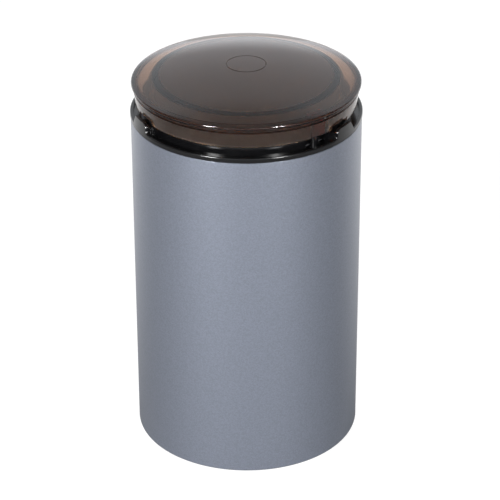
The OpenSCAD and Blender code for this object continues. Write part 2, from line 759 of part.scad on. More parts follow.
module bracket_legs(z, h) {
    for (x = [-1, 1]) translate([x * (leg_x + 0.5), 0, z]) slab(leg_w, leg_d, h, -leg_d / 2);
}

module upper_bracket() color("lightgray") difference() {
    union() {
        translate([0, 0, z_plate - bar_t]) linear_extrude(bar_t)
            rounded(2 * (damper_x + bar_edge_x), 2 * (damper_y + bar_edge_y), bar_corner);
        peg(boss_r, z_boss, z_plate - z_boss);
        bracket_legs(z_stack_top, z_plate - bar_t - z_stack_top + eps);
    }
    peg(bearing_r, z_plate - 1 - bearing_h, bearing_h + 5);
    peg(shaft_r + 1, z_boss - 1, 20);
    for (x = [-1, 1], y = [-1, 1]) translate([x * damper_x, y * damper_y, 0])
        peg(screw_r + 0.15, z_plate - bar_t - 1, bar_t + 2);
    for (x = [-1, 1]) translate([x * leg_x, 0, 0]) peg(bolt_r, z_stack_top - 1, 17);
}

module lower_bracket() color("lightgray") difference() {
    union() {
        translate([0, 0, z_low_plate]) linear_extrude(bar_t) rounded(2 * (leg_x + 4), low_bar_w, bar_corner);
        translate([0, 0, z_low_plate]) linear_extrude(bar_t) rounded(holder_w + 4, 2 * holder_out + 2, bar_corner);
        peg(boss_r, z_low_boss, z_low_boss_top - z_low_boss);
        bracket_legs(z_low_plate + bar_t - eps, z_stack - z_low_plate - bar_t + eps);
        for (y = [-1, 1]) translate([0, y * (holder_out - 4), 0])
            slab(holder_w, 6, brush_z - holder_wall - z_low_plate - bar_t + eps, -3, z_low_plate + bar_t - eps);
    }
    peg(bearing_r, z_low_boss_top - 1 - bearing_h, bearing_h + 5);
    peg(shaft_r + 0.5, z_low_boss + 0.5, 20);
    for (x = [-1, 1]) translate([x * leg_x, 0, 0]) peg(bolt_r + bolt_fit, z_low_plate - 1, 60);
}

module bearing(z) {
    rotate_extrude($fn = 64) polygon([[shaft_r + run_fit, z], [bearing_r - 0.6, z], [bearing_r, z + 0.6],
        [bearing_r, z + bearing_h - 0.6], [bearing_r - 0.6, z + bearing_h], [shaft_r + run_fit, z + bearing_h]]);
}

module upper_bearing() color("peru") bearing(z_plate - 1 - bearing_h);
module lower_bearing() color("peru") bearing(z_low_boss_top - 1 - bearing_h);

// One field pole with its curved shoe, on the +X side
module pole() {
    difference() {
        intersection() {
            circle(r = bore_r + shoe_t);
            polygon([[0, 0], [40 * cos(shoe_angle), 40 * sin(shoe_angle)], [60, 0],
                     [40 * cos(shoe_angle), -40 * sin(shoe_angle)]]);
        }
        circle(r = bore_r);
    }
    difference() {
        translate([bore_r - 2, -pole_w / 2]) square([stator_w / 2 - bore_r - 2, pole_w]);
        circle(r = bore_r);
    }
}

module stator_core() color([0.45, 0.46, 0.5]) translate([0, 0, z_stack]) linear_extrude(stack_h) difference() {
    union() {
        difference() {
            rounded(stator_w, stator_d, yoke_corner);
            rounded(stator_w - 2 * yoke_t, stator_d - 2 * yoke_t, window_corner);
        }
        pole();
        mirror([1, 0]) pole();
    }
    for (x = [-1, 1]) translate([x * leg_x, 0]) circle(r = bolt_r + bolt_fit, $fn = 32);
}

module field_coils() color([0.72, 0.38, 0.16]) for (x = [-1, 1])
    translate([x * coil_x, 0, z_stack + stack_h / 2])
        rotate([0, 90, 0]) linear_extrude(coil_t, center = true) difference() {
            rounded(stack_h + 2 * (coil_gap + coil_wall), pole_w + 2 * (coil_gap + coil_wall), coil_corner);
            square([stack_h + coil_gap, pole_w + coil_gap], center = true);
        }

module stator_bolts() color("silver") for (x = [-1, 1]) translate([x * leg_x, 0, z_low_plate])
    screw(bolt_r, bolt_head_r, bolt_head_t, z_stack_top + 14 - z_low_plate);

module brush_holders() color([0.35, 0.2, 0.12]) for (a = [0, 180]) rotate([0, 0, a]) difference() {
    slab(holder_w, holder_out - holder_in, holder_h, holder_in, brush_z - holder_wall);
    slab(brush_w, holder_out - holder_in, brush_w, holder_in - holder_wall, brush_z);
}

module carbon_brushes() color([0.15, 0.15, 0.15]) for (a = [0, 180]) rotate([0, 0, a])
    slab(brush_w - 2 * brush_fit, brush_len, brush_w - 2 * brush_fit, comm_r + brush_gap, brush_z);

module brush_springs() color("silver") for (a = [0, 180]) rotate([0, 0, a])
    translate([0, 0, brush_z + brush_w / 2 - brush_fit]) rotate([-90, 0, 0])
        coil_spring(brush_spring_r, brush_wire, comm_r + brush_gap + brush_len, holder_out - holder_wall, 4, 10);

module motor_dampers() color([0.15, 0.15, 0.15]) for (x = [-1, 1], y = [-1, 1])
    translate([x * damper_x, y * damper_y, 0]) ring(damper_r, screw_r + 0.15, z_plate, damper_h);

module motor_screws() color("silver") for (x = [-1, 1], y = [-1, 1])
    translate([x * damper_x, y * damper_y, z_plate - bar_t])
        screw(screw_r, screw_head_r, screw_head_t, bar_t + damper_h + disc_t - 0.5);

// ---------- rotor ----------

module drive_shaft() color("silver") union() {
    peg(shaft_r, z_shaft, z_blade - z_shaft);
    peg(shaft_r - 0.5, z_blade - eps, z_shaft_top - z_blade + eps);
}

module armature_core() color([0.4, 0.41, 0.45]) translate([0, 0, z_stack]) linear_extrude(stack_h) difference() {
    circle(r = armature_d / 2);
    circle(r = shaft_r, $fn = 48);
    for (i = [0 : slot_count - 1]) rotate(i * 360 / slot_count) {
        translate([slot_ring, 0]) circle(r = slot_r, $fn = 24);
        translate([slot_ring, -0.6]) square([10, 1.2]);
    }
}

module armature_windings() color([0.75, 0.4, 0.15]) difference() {
    union() {
        for (z = [z_stack - winding_h + 0.3, z_stack_top]) rotate_extrude() translate([0, z])
            polygon([[0, 0], [9.5, 0], [12.4, 2], [12.4, winding_h - 2], [9.5, winding_h - 0.3],
                     [0, winding_h - 0.3]]);
        for (i = [0 : slot_count - 1]) rotate(i * 360 / slot_count) translate([slot_ring, 0, z_stack - 1])
            cylinder(r = slot_r - 0.15, h = stack_h + 2, $fn = 24);
    }
    peg(shaft_r, z_stack - 20, stack_h + 40);
}

module commutator() color([0.8, 0.5, 0.2]) difference() {
    union() {
        peg(comm_r, z_comm, comm_len + eps);
        peg(comm_r + 1.2, z_comm + comm_len, riser_t);
    }
    peg(shaft_r, z_comm - 1, comm_len + 10);
    for (i = [0 : slot_count - 1]) rotate(i * 360 / slot_count + 15)
        translate([comm_r - 0.8, -0.2, z_comm - 1]) cube([5, 0.4, comm_len + riser_t + 2]);
}

module cooling_fan() color([0.2, 0.2, 0.22]) difference() {
    union() {
        peg(6, z_fan, fan_h);
        disc(fan_d / 2, z_fan, 1.2);
        for (i = [0 : 8]) rotate(i * 40) translate([5, -0.6, z_fan + 1]) cube([fan_d / 2 - 5.6, 1.2, fan_h - 1.8]);
    }
    peg(shaft_r, z_fan - 1, fan_h + 2);
}

module thrust_washers() color("white") {
    difference() {
        peg(4, z_boss - 0.9, 0.8);
        peg(shaft_r, z_boss - 2, 4);
    }
    difference() {
        peg(4, z_low_boss_top + 0.1, 1.9);
        peg(shaft_r, z_low_boss_top - 1, 4);
    }
}

module blade_hub() color("silver") difference() {
    union() {
        peg(drive_hub_r, hub_seat, drive_hub_h);
        peg(drive_hub_r + 1.5, hub_seat, 1.2);
    }
    peg(shaft_r, hub_seat - 1, drive_hub_h + 2);
}

// One wing: it leaves the flat middle at a bend and narrows to a rounded, ground tip
module wing() {
    reach = blade_r - blade_root;
    translate([blade_root - 1.2, 0, 0]) rotate([0, -blade_bend, 0]) difference() {
        linear_extrude(blade_t) polygon(concat(
            [[0, -blade_w / 2], [reach * 0.75, -blade_w / 2 + 1]],
            arc(reach - 1.4, -blade_w / 2 + 4.4, 2.4, -80, 40, 5),
            [[reach * 0.6, blade_w / 2 - 1.5], [0, blade_w / 2]]));
        translate([2, -blade_w / 2 + 1.6, blade_t]) rotate([-30, 0, 0])
            translate([0, -6, 0]) cube([reach + 4, 6, 3]);
    }
}

module blade() color("silver") translate([0, 0, z_blade]) difference() {
    union() {
        linear_extrude(blade_t) rounded(2 * blade_root, blade_w, 2);
        wing();
        rotate([0, 0, 180]) wing();
    }
    peg(shaft_r - 0.5, -1, blade_t + 2);
    translate([-50, -50, -20]) cube([100, 100, 20]);
}

module blade_nut() color("silver") difference() {
    translate([0, 0, z_blade + blade_t]) union() {
        cylinder(r = nut_r, h = nut_h - 1, $fn = 6);
        cylinder(r = nut_r - 1, h = nut_h, $fn = 32);
    }
    peg(shaft_r - 0.5, z_blade, blade_t + nut_h - 0.5);
}

// ---------- base fittings and wiring ----------

module base_screws() color("silver") for (az = base_az) around(az, base_boss_pos)
    translate([0, 0, z_sleeve + 4]) screw(base_screw_r, screw_head_r, 1.6, base_post_h + 8);

module terminal_block() color([0.85, 0.85, 0.8]) around(block_az, block_r) difference() {
    slab(block_w, block_d, block_h, -block_d / 2, z_cover_top);
    for (x = [-1, 1]) translate([x * block_hole_x, 0, 0]) {
        peg(block_screw_r, z_cover_top + block_h - 4, 6);
        translate([0, block_d / 2 + 1.5, z_cover_top + 3]) rotate([90, 0, 0])
            cylinder(r = block_entry_r, h = 4, $fn = 24);
    }
}

module suppression_capacitor() color([0.85, 0.75, 0.2]) around(cap_az, block_r)
    translate([0, 0, z_cover_top]) linear_extrude(cap_h) rounded(cap_w, cap_d, 1);

// Point of a lead's route from its angle, radius and height
function stop(p) = [p[1] * sin(p[0]), -p[1] * cos(p[0]), p[2]];

// A smooth curve through the stops (Catmull-Rom), with n steps between two stops
function curve(q, n = 4) = let (k = len(q) - 1) concat(
    [for (i = [0 : k - 1], j = [0 : n - 1]) let (t = j / n, a = q[max(i - 1, 0)], b = q[i], c = q[i + 1],
        d = q[min(i + 2, k)])
        0.5 * ((2 * b) + (c - a) * t + (2 * a - 5 * b + 4 * c - d) * t * t + (3 * b - a - 3 * c + d) * t * t * t)],
    [q[k]]);

function unit(v) = v / norm(v);

// Rings of a round lead along a curve. The side vector stays level, so the tube doesn't twist.
function tube_rings(path, r, sides = 8) = let (n = len(path) - 1)
    [for (i = [0 : n]) let (
        t = unit(path[min(i + 1, n)] - path[max(i - 1, 0)]),
        out = unit([path[i][0], path[i][1], 0]),
        u = unit(cross(t, out)),
        v = cross(u, t))
        [for (s = [0 : sides - 1]) path[i] + r * (u * cos(360 * s / sides) + v * sin(360 * s / sides))]];

module lead(stops) sweep(tube_rings(curve([for (p = stops) stop(p)]), lead_r));

module lead_live() color("saddlebrown") lead([[145, block_r + 0.6, z_block_top + 0.4],
    [142, block_r + 2, z_block_top + 5], [134, lead_wall_r - 1, z_block_top + 15],
    [112, lead_wall_r, z_block_top + 31], [90, lead_wall_r, z_tab_low - 22], [66, lead_wall_r, z_tab_low - 14],
    [tab_end_az + 2, tab_end_r + 0.4, z_tab_low - 6], [tab_end_az, tab_end_r, z_tab_low - 0.4]]);

module lead_neutral() color("royalblue") lead([[155, block_r + 0.6, z_block_top + 0.4],
    [160, block_r, z_block_top + 6], [185, holder_out + 8, z_block_top + 14],
    [215, holder_out + 7, z_stack - 9], [180 + coil_end_az, coil_end_r, z_stack - 2.5]]);

module lead_switched() color("black") lead([[tab_start_az, tab_start_r, z_tab_low - 0.3],
    [tab_start_az - 1, tab_start_r - 0.3, z_tab_low - 8], [34, stack_out_r + 4.3, z_stack_top - 4],
    [38, stack_out_r + 2.8, z_stack + 2], [46, stack_out_r - 2.2, z_stack - 4],
    [coil_end_az, coil_end_r, z_stack - 2.5]]);

outer_sleeve();
inner_housing();
collar();
grinding_bowl();
bowl_gasket();
bowl_clamp_nut();
shaft_seal();
motor_carrier();
carrier_screws();
upper_bracket();
lower_bracket();
upper_bearing();
lower_bearing();
stator_core();
field_coils();
stator_bolts();
brush_holders();
carbon_brushes();
brush_springs();
motor_dampers();
motor_screws();
microswitch();
switch_terminals();
switch_pin();
switch_screws();
base_cover();
base_screws();
feet();
cord_gland();
terminal_block();
suppression_capacitor();
lead_live();
lead_neutral();
lead_switched();
push_rod();
rod_clip();
rod_spring();
lid();
lid_seal();
drive_shaft();
armature_core();
armature_windings();
commutator();
cooling_fan();
thrust_washers();
blade_hub();
blade();
blade_nut();
switch_lever();
switch_plunger();
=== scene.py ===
"""Electric spice grinder: surfaces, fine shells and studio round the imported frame.

The CAD nodes keep their place and get a material each. The pieces that carry the look are made
again with fine curves: the painted sleeve, the glossy collar, the smoked lid with its tab, the
spun bowl, the return spring and the feet. Eight more nodes get a copy with rounded edges.
Lengths are in millimetres until a mesh is made. A turn is in degrees, from the front towards +X.
"""
import json
import math

import bmesh
import bpy
from mathutils import Matrix, Vector

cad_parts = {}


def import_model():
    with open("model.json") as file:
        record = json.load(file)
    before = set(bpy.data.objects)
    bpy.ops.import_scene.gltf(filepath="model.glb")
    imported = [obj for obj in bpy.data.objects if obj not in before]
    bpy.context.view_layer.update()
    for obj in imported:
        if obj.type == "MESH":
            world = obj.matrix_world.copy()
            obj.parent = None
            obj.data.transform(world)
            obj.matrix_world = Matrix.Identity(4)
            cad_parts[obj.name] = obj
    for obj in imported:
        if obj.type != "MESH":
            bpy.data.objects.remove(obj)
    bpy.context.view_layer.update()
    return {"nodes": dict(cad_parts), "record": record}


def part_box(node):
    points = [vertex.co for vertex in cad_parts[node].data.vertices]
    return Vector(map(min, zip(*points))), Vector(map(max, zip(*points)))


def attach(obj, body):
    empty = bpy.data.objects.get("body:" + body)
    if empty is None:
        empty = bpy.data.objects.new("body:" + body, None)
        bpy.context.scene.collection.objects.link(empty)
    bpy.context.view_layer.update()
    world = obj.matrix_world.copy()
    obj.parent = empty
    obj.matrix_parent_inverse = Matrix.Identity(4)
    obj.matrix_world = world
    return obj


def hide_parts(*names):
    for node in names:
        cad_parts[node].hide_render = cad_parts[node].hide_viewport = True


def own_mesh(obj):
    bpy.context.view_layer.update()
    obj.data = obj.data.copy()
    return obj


MM = 0.001
# Points closer than WELD become one point, and a face thinner than SPECK goes
WELD = 0.002
SPECK = 0.001
# An edge that bends by more than this many degrees is drawn sharp
SHARP = 35
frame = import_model()
nodes = frame["nodes"]


# ---------- small helpers ----------

def linear(code):
    """An sRGB hex colour as linear red, green, blue and a full alpha."""
    parts = [int(code[i:i + 2], 16) / 255 for i in (1, 3, 5)]
    return (*(p / 12.92 if p <= 0.04045 else ((p + 0.055) / 1.055) ** 2.4 for p in parts), 1.0)


def add(tree, kind, sockets=None, **settings):
    """Adds a node. A socket takes either a value or another node's output."""
    node = tree.nodes.new(kind)
    for name, value in settings.items():
        setattr(node, name, value)
    for name, value in (sockets or {}).items():
        if isinstance(value, bpy.types.NodeSocket):
            tree.links.new(value, node.inputs[name])
        else:
            node.inputs[name].default_value = value
    return node


def low(node):
    """Lowest corner of a CAD node, in millimetres."""
    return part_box(node)[0] / MM


def high(node):
    """Highest corner of a CAD node, in millimetres."""
    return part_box(node)[1] / MM


def arc(x, z, r, start, end, steps):
    """Points of an arc round (x, z), from one angle to another."""
    angles = [math.radians(start + (end - start) * i / steps) for i in range(steps + 1)]
    return [(x + r * math.cos(a), z + r * math.sin(a)) for a in angles]


def flat_top(half, height, steps):
    """Evenly spaced points from one side to the other, all at one height."""
    return [(half * (2 * i / steps - 1), height) for i in range(steps + 1)]


def on_ring(r, turn, z):
    """A place at radius r and height z."""
    a = math.radians(turn)
    return Vector((r * math.sin(a), -r * math.cos(a), z))


def piece(name, data):
    """A new object in the scene that holds this mesh, camera or lamp."""
    made = bpy.data.objects.new(name, data)
    bpy.context.scene.collection.objects.link(made)
    return made


def fix_mesh(mesh):
    """Welds doubles, points the faces outwards and shades smooth up to the sharp angle."""
    work = bmesh.new()
    work.from_mesh(mesh)
    bmesh.ops.remove_doubles(work, verts=work.verts, dist=WELD * MM)
    bmesh.ops.dissolve_degenerate(work, edges=work.edges, dist=SPECK * MM)
    bmesh.ops.recalc_face_normals(work, faces=work.faces)
    for face in work.faces:
        face.smooth = True
    for edge in work.edges:
        edge.smooth = not edge.is_manifold or edge.calc_face_angle(0) < math.radians(SHARP)
    work.to_mesh(mesh)
    work.free()


def bake(made):
    """Turns an object's modifiers into its mesh."""
    state = bpy.context.evaluated_depsgraph_get()
    mesh = bpy.data.meshes.new_from_object(made.evaluated_get(state))
    made.modifiers.clear()
    made.data = mesh


def shade_evenly(made):
    """Lets the wide faces set the normals, so that a small round does not bend a wall's shine."""
    modifier = made.modifiers.new("shade", "WEIGHTED_NORMAL")
    modifier.keep_sharp = True
    bake(made)


def round_edges(made, width, segments, angle):
    """Rounds every edge that is sharper than the angle."""
    bevel = made.modifiers.new("round", "BEVEL")
    bevel.width = width * MM
    bevel.segments = segments
    bevel.limit_method = "ANGLE"
    bevel.angle_limit = math.radians(angle)
    bake(made)
    fix_mesh(made.data)


def node_group(name, inputs):
    """An empty Geometry Nodes tree with named inputs: its tree and its input sockets."""
    tree = bpy.data.node_groups.new(name, "GeometryNodeTree")
    for label, kind in [("Geometry", "Geometry"), *inputs]:
        tree.interface.new_socket(label, in_out="INPUT", socket_type="NodeSocket" + kind)
    tree.interface.new_socket("Geometry", in_out="OUTPUT", socket_type="NodeSocketGeometry")
    return tree, add(tree, "NodeGroupInput").outputs


def finish_tree(tree, geometry, material):
    """Ends a tree in Realize Instances and Set Material."""
    real = add(tree, "GeometryNodeRealizeInstances", {"Geometry": geometry})
    coat = add(tree, "GeometryNodeSetMaterial",
               {"Geometry": real.outputs[0], "Material": material})
    add(tree, "NodeGroupOutput", {"Geometry": coat.outputs[0]})


def run_tree(made, tree, inputs):
    """Runs a Geometry Nodes tree on an object. An input is set by its socket's identifier."""
    modifier = made.modifiers.new(tree.name, "NODES")
    modifier.node_group = tree
    for item in tree.interface.items_tree:
        if item.item_type == "SOCKET" and item.in_out == "INPUT" and item.name in inputs:
            modifier[item.identifier] = inputs[item.name]
    bake(made)


# ---------- materials ----------

# Nearly all values of a noise lie between these two
NOISE_LOW = 0.3
NOISE_HIGH = 0.7


def surface(name, sockets):
    """A new material: the material, its tree, its shader and the Object coordinates."""
    made = bpy.data.materials.new(name)
    made.use_nodes = True
    tree = made.node_tree
    shader = tree.nodes["Principled BSDF"]
    for label, value in sockets.items():
        shader.inputs[label].default_value = value
    return made, tree, shader, add(tree, "ShaderNodeTexCoord").outputs["Object"]


def grain(tree, where, size, detail=2.0):
    """Noise with features of the given size in millimetres."""
    return add(tree, "ShaderNodeTexNoise",
               {"Vector": where, "Scale": 1 / (size * MM), "Detail": detail}).outputs["Fac"]


def spread(tree, noise, start=0, end=1):
    """Stretches a noise to the range from start to end."""
    return add(tree, "ShaderNodeMapRange",
               {"Value": noise, "From Min": NOISE_LOW, "From Max": NOISE_HIGH,
                "To Min": start, "To Max": end}).outputs[0]


def relief(tree, shader, height, depth):
    """Bump of a real depth in millimetres."""
    bump = add(tree, "ShaderNodeBump", {"Height": height, "Distance": depth * MM})
    tree.links.new(bump.outputs["Normal"], shader.inputs["Normal"])


def tint(tree, shader, value, dark, light):
    """Colours the surface between two shades by a value from 0 to 1."""
    # Sockets 6 and 7 are the two colours of a Mix node
    mix = add(tree, "ShaderNodeMix", {0: value, 6: linear(dark), 7: linear(light)},
              data_type="RGBA")
    tree.links.new(mix.outputs[2], shader.inputs["Base Color"])


def painted_steel():
    """Satin metallic lacquer, sprayed and baked: aluminium flakes under a silky clear coat."""
    made, tree, shader, where = surface("baked_flake_lacquer", {
        "Metallic": 0.75, "Roughness": 0.42, "Coat Weight": 0.4, "Coat Roughness": 0.26})
    # Real flakes are about 0.03 mm wide, so they are drawn wider to show
    flake = 0.4
    cells = add(tree, "ShaderNodeTexVoronoi", {"Vector": where, "Scale": 1 / (flake * MM)})
    lottery = add(tree, "ShaderNodeSeparateColor", {"Color": cells.outputs["Color"]})
    tint(tree, shader, lottery.outputs[0], "#737984", "#7e8390")
    orange_peel = grain(tree, where, size=1.6, detail=1.0)
    relief(tree, shader, orange_peel, depth=0.004)
    return made


def moulded(name, dark, light, roughness, grain_size, grain_depth, specular=0.5):
    """Injection-moulded or pressed: the colour drifts a little and the tool leaves its grain."""
    made, tree, shader, where = surface(name, {
        "Roughness": roughness, "IOR": 1.5, "Specular IOR Level": specular})
    tint(tree, shader, spread(tree, grain(tree, where, size=18)), dark, light)
    relief(tree, shader, grain(tree, where, grain_size), grain_depth)
    return made


def polished_plastic(name, dark, light, roughness):
    """Plastic from a polished tool: deep gloss with faint sink marks and wipe marks."""
    made, tree, shader, where = surface(name, {"IOR": 1.52})
    tint(tree, shader, spread(tree, grain(tree, where, size=12)), dark, light)
    wiped = spread(tree, grain(tree, where, size=3.5, detail=4.0),
                   roughness * 0.7, roughness * 1.6)
    tree.links.new(wiped, shader.inputs["Roughness"])
    sink_marks = grain(tree, where, size=9, detail=0.0)
    relief(tree, shader, sink_marks, depth=0.01)
    return made


def turned_metal(name, colour, light, roughness, line_gap, line_depth):
    """Metal that was spun or turned about Z: fine rings that stretch the highlight."""
    made, tree, shader, where = surface(name, {"Metallic": 1.0})
    # Radius plus height changes across the rings, on a flat face and on a wall alike
    split = add(tree, "ShaderNodeSeparateXYZ", {"Vector": where})
    flat = add(tree, "ShaderNodeVectorMath", {0: where, 1: (1, 1, 0)}, operation="MULTIPLY")
    radius = add(tree, "ShaderNodeVectorMath", {0: flat.outputs[0]}, operation="LENGTH")
    along = add(tree, "ShaderNodeMath", {0: radius.outputs["Value"], 1: split.outputs["Z"]})
    line = add(tree, "ShaderNodeCombineXYZ", {"X": along.outputs[0]})
    rings = grain(tree, line.outputs[0], line_gap, detail=3.0)
    tint(tree, shader, spread(tree, rings), colour, light)
    rubbed = spread(tree, grain(tree, where, size=6, detail=3.0),
                    roughness * 0.8, roughness * 1.25)
    tree.links.new(rubbed, shader.inputs["Roughness"])
    relief(tree, shader, rings, line_depth)
    return made


def ground_metal(name, colour, light, roughness, line_gap):
    """Rolled or ground metal: straight hairlines along Y, 25 times as long as they are wide."""
    made, tree, shader, where = surface(name, {"Metallic": 1.0})
    lines = add(tree, "ShaderNodeVectorMath", {0: where, 1: (1, 0.04, 1)},
                operation="MULTIPLY")
    hair = grain(tree, lines.outputs[0], line_gap, detail=3.0)
    tint(tree, shader, spread(tree, hair), colour, light)
    worn = spread(tree, hair, roughness * 0.75, roughness * 1.3)
    tree.links.new(worn, shader.inputs["Roughness"])
    relief(tree, shader, hair, depth=0.003)
    return made


def layered(name, dark, light, gap, metallic, roughness):
    """Stacked sheets or wound wire: thin bands one above the other."""
    made, tree, shader, where = surface(name, {"Metallic": metallic, "Roughness": roughness})
    # Scaled by 1, the wave repeats every 2 pi / 20; here one light and one dark layer fill that
    bands = add(tree, "ShaderNodeTexWave",
                {"Vector": where, "Scale": math.pi / (20 * gap * MM), "Distortion": 0.6,
                 "Detail Scale": 40.0},
                wave_type="BANDS", bands_direction="Z")
    tint(tree, shader, bands.outputs["Fac"], dark, light)
    relief(tree, shader, bands.outputs["Fac"], gap * 0.25)
    return made


def soft_rubber(name, dark, light):
    """Moulded rubber: dull, with a bloom that lifts the edges and a fine skin."""
    made, tree, shader, where = surface(name, {
        "Roughness": 0.62, "Sheen Weight": 0.25, "Sheen Roughness": 0.5})
    tint(tree, shader, spread(tree, grain(tree, where, size=2.5, detail=4.0)), dark, light)
    relief(tree, shader, grain(tree, where, size=0.35), depth=0.008)
    return made


def smoked_plastic():
    """Smoked polycarbonate: clear gloss outside, a brown light-drinking body, and a hazy inside.

    The attribute frosted is 1 under the dome, where a blasted tool face blurs what lies behind.
    A second face attribute is painted shade: it darkens and warms the colour at the dome's rim and
    in a shadow line under the lip.
    """
    made, tree, shader, where = surface("polished_smoked_polycarbonate", {
        "IOR": 1.57, "Transmission Weight": 1.0})
    # Painted shade: the colour turns from white to dark brown where that attribute is 1
    painted_shade = add(tree, "ShaderNodeAttribute", attribute_name="painted_shade").outputs["Fac"]
    tint(tree, shader, painted_shade, "#ffffff", "#7a452e")
    frosted = add(tree, "ShaderNodeAttribute", attribute_name="frosted").outputs["Fac"]
    rough = add(tree, "ShaderNodeMapRange", {"Value": frosted, "To Min": 0.04, "To Max": 0.5})
    tree.links.new(rough.outputs[0], shader.inputs["Roughness"])
    sink_marks = grain(tree, where, size=14, detail=0.0)
    relief(tree, shader, sink_marks, depth=0.012)
    body = add(tree, "ShaderNodeVolumeAbsorption",
               {"Color": linear("#d0ad84"), "Density": 650.0})
    tree.links.new(body.outputs[0], tree.nodes["Material Output"].inputs["Volume"])
    return made


# Every grain and line is a little coarser than the real one, so that it shows
FINISHES = {
    "sleeve_paint": painted_steel(),
    "smoked_lid": smoked_plastic(),
    # Two shades and a roughness; acrylonitrile butadiene styrene
    "black_gloss": polished_plastic("polished_black_abs", "#060607", "#0a0a0b", 0.14),
    # Two shades, a roughness, and the grain's size and depth; the first is the same plastic
    "black_matte": moulded("grained_black_abs", "#0e0e0f", "#151516", 0.48, 0.3, 0.012),
    "bronze": moulded("sintered_bronze", "#8d6a3e", "#a78150", 0.5, 0.15, 0.02),
    "alloy": moulded("die_cast_alloy", "#96989b", "#a9abae", 0.42, 0.8, 0.03),
    "carbon": moulded("pressed_carbon", "#131313", "#1d1d1e", 0.6, 0.2, 0.02),
    "phenolic": moulded("brown_phenolic", "#3a2014", "#4a2a1b", 0.35, 0.5, 0.01),
    "nylon_white": moulded("natural_nylon", "#d3d2c6", "#deddd2", 0.4, 0.4, 0.01),
    "fan_plastic": moulded("glass_filled_nylon", "#18181a", "#232326", 0.5, 0.25, 0.02),
    "film_yellow": moulded("yellow_film_case", "#c09c22", "#cfaa2d", 0.3, 0.6, 0.008),
    "plunger_red": moulded("red_acetal", "#9a1a12", "#a92117", 0.3, 0.5, 0.006),
    "wire_brown": moulded("brown_insulation", "#3d2010", "#4a2916", 0.38, 0.4, 0.006),
    "wire_blue": moulded("blue_insulation", "#163a8c", "#1d449c", 0.38, 0.4, 0.006),
    "wire_black": moulded("black_insulation", "#0f0f10", "#161617", 0.38, 0.4, 0.006),
    # Two shades, a roughness, and the rings' gap and depth
    "stainless": turned_metal("spun_stainless_steel", "#b4b5b7", "#c8c9cb", 0.2, 0.3, 0.004),
    "copper_bar": turned_metal("turned_copper", "#b06a40", "#c98358", 0.3, 0.25, 0.003),
    # Two shades, a roughness and the hairlines' gap
    "zinc_steel": ground_metal("bright_zinc_plate", "#a9aeb4", "#c3c8cd", 0.3, 0.25),
    "brass_tab": ground_metal("stamped_brass", "#b8954c", "#ccaa60", 0.25, 0.3),
    # Two shades
    "rubber_black": soft_rubber("moulded_black_rubber", "#141415", "#1c1c1d"),
    "seal_grey": soft_rubber("grey_silicone", "#4b4b4e", "#57575a"),
    # Two shades, a layer's thickness, how metallic it is and its roughness
    "lamination": layered("varnished_lamination_stack", "#3b3d42", "#5d6066", 0.5, 0.8, 0.45),
    "copper_wire": layered("enamelled_copper_winding", "#6d3212", "#b3602c", 0.5, 0.6, 0.3),
}
# Smoked polycarbonate several millimetres thick: hardly any light comes back out. It is moulded
# in one with the skirt in front of it, so no surface between them shines.
DEEP_SMOKE = moulded("thick_smoked_polycarbonate", "#431405", "#4a1908", 0.7, 6, 0.01,
                     specular=0.0)
for part in frame["record"]["subparts"]:
    mesh = nodes[part["node"]].data
    mesh.materials.clear()
    mesh.materials.append(FINISHES[part["material_slot"]])


# ---------- how the shells are made ----------

def turning_tree():
    """Turns a line of points, radius along X and height along Z, about the Z axis."""
    tree, given = node_group("turned_shell", [("Columns", "Int"), ("Rows", "Int"),
                                              ("Material", "Material")])
    around = add(tree, "ShaderNodeMath", {0: given["Columns"], 1: 1.0})
    grid = add(tree, "GeometryNodeMeshGrid",
               {"Vertices X": around.outputs[0], "Vertices Y": given["Rows"]})
    index = add(tree, "GeometryNodeInputIndex").outputs[0]
    row = add(tree, "ShaderNodeMath", {0: index, 1: given["Rows"]}, operation="MODULO")
    share = add(tree, "ShaderNodeMath", {0: index, 1: given["Rows"]}, operation="DIVIDE")
    column = add(tree, "ShaderNodeMath", {0: share.outputs[0]}, operation="FLOOR")
    turn = add(tree, "ShaderNodeMath", {0: column.outputs[0], 1: given["Columns"]},
               operation="DIVIDE")
    angle = add(tree, "ShaderNodeMath", {0: turn.outputs[0], 1: 2 * math.pi},
                operation="MULTIPLY")
    outline = add(tree, "GeometryNodeSampleIndex",
                  {"Geometry": given["Geometry"],
                   "Value": add(tree, "GeometryNodeInputPosition").outputs[0],
                   "Index": row.outputs[0]},
                  data_type="FLOAT_VECTOR", domain="POINT")
    placed = add(tree, "ShaderNodeVectorRotate",
                 {"Vector": outline.outputs[0], "Angle": angle.outputs[0]},
                 rotation_type="Z_AXIS")
    shell = add(tree, "GeometryNodeSetPosition",
                {"Geometry": grid.outputs["Mesh"], "Position": placed.outputs[0]})
    welded = add(tree, "GeometryNodeMergeByDistance",
                 {"Geometry": shell.outputs[0], "Distance": SPECK * MM})
    finish_tree(tree, welded.outputs[0], given["Material"])
    return tree


TURNING = turning_tree()


def turned(name, outline, slot, columns=256, closed=True):
    """A shell turned from an outline of (radius, height) points."""
    points = outline + outline[:1] if closed else outline
    mesh = bpy.data.meshes.new(name)
    edges = [(i, i + 1) for i in range(len(points) - 1)]
    mesh.from_pydata([(r * MM, 0, z * MM) for r, z in points], edges, [])
    made = piece(name, mesh)
    run_tree(made, TURNING,
             {"Columns": columns, "Rows": len(points), "Material": FINISHES[slot]})
    fix_mesh(made.data)
    return made


def combine(base, tools, operation):
    """Joins tools to a base or cuts them from it, and removes the tools."""
    for tool in tools:
        fix_mesh(tool.data)
        modifier = base.modifiers.new("cut", "BOOLEAN")
        modifier.operation = operation
        modifier.object = tool
        modifier.solver = "MANIFOLD"
    bake(base)
    for tool in tools:
        bpy.data.objects.remove(tool)
    fix_mesh(base.data)


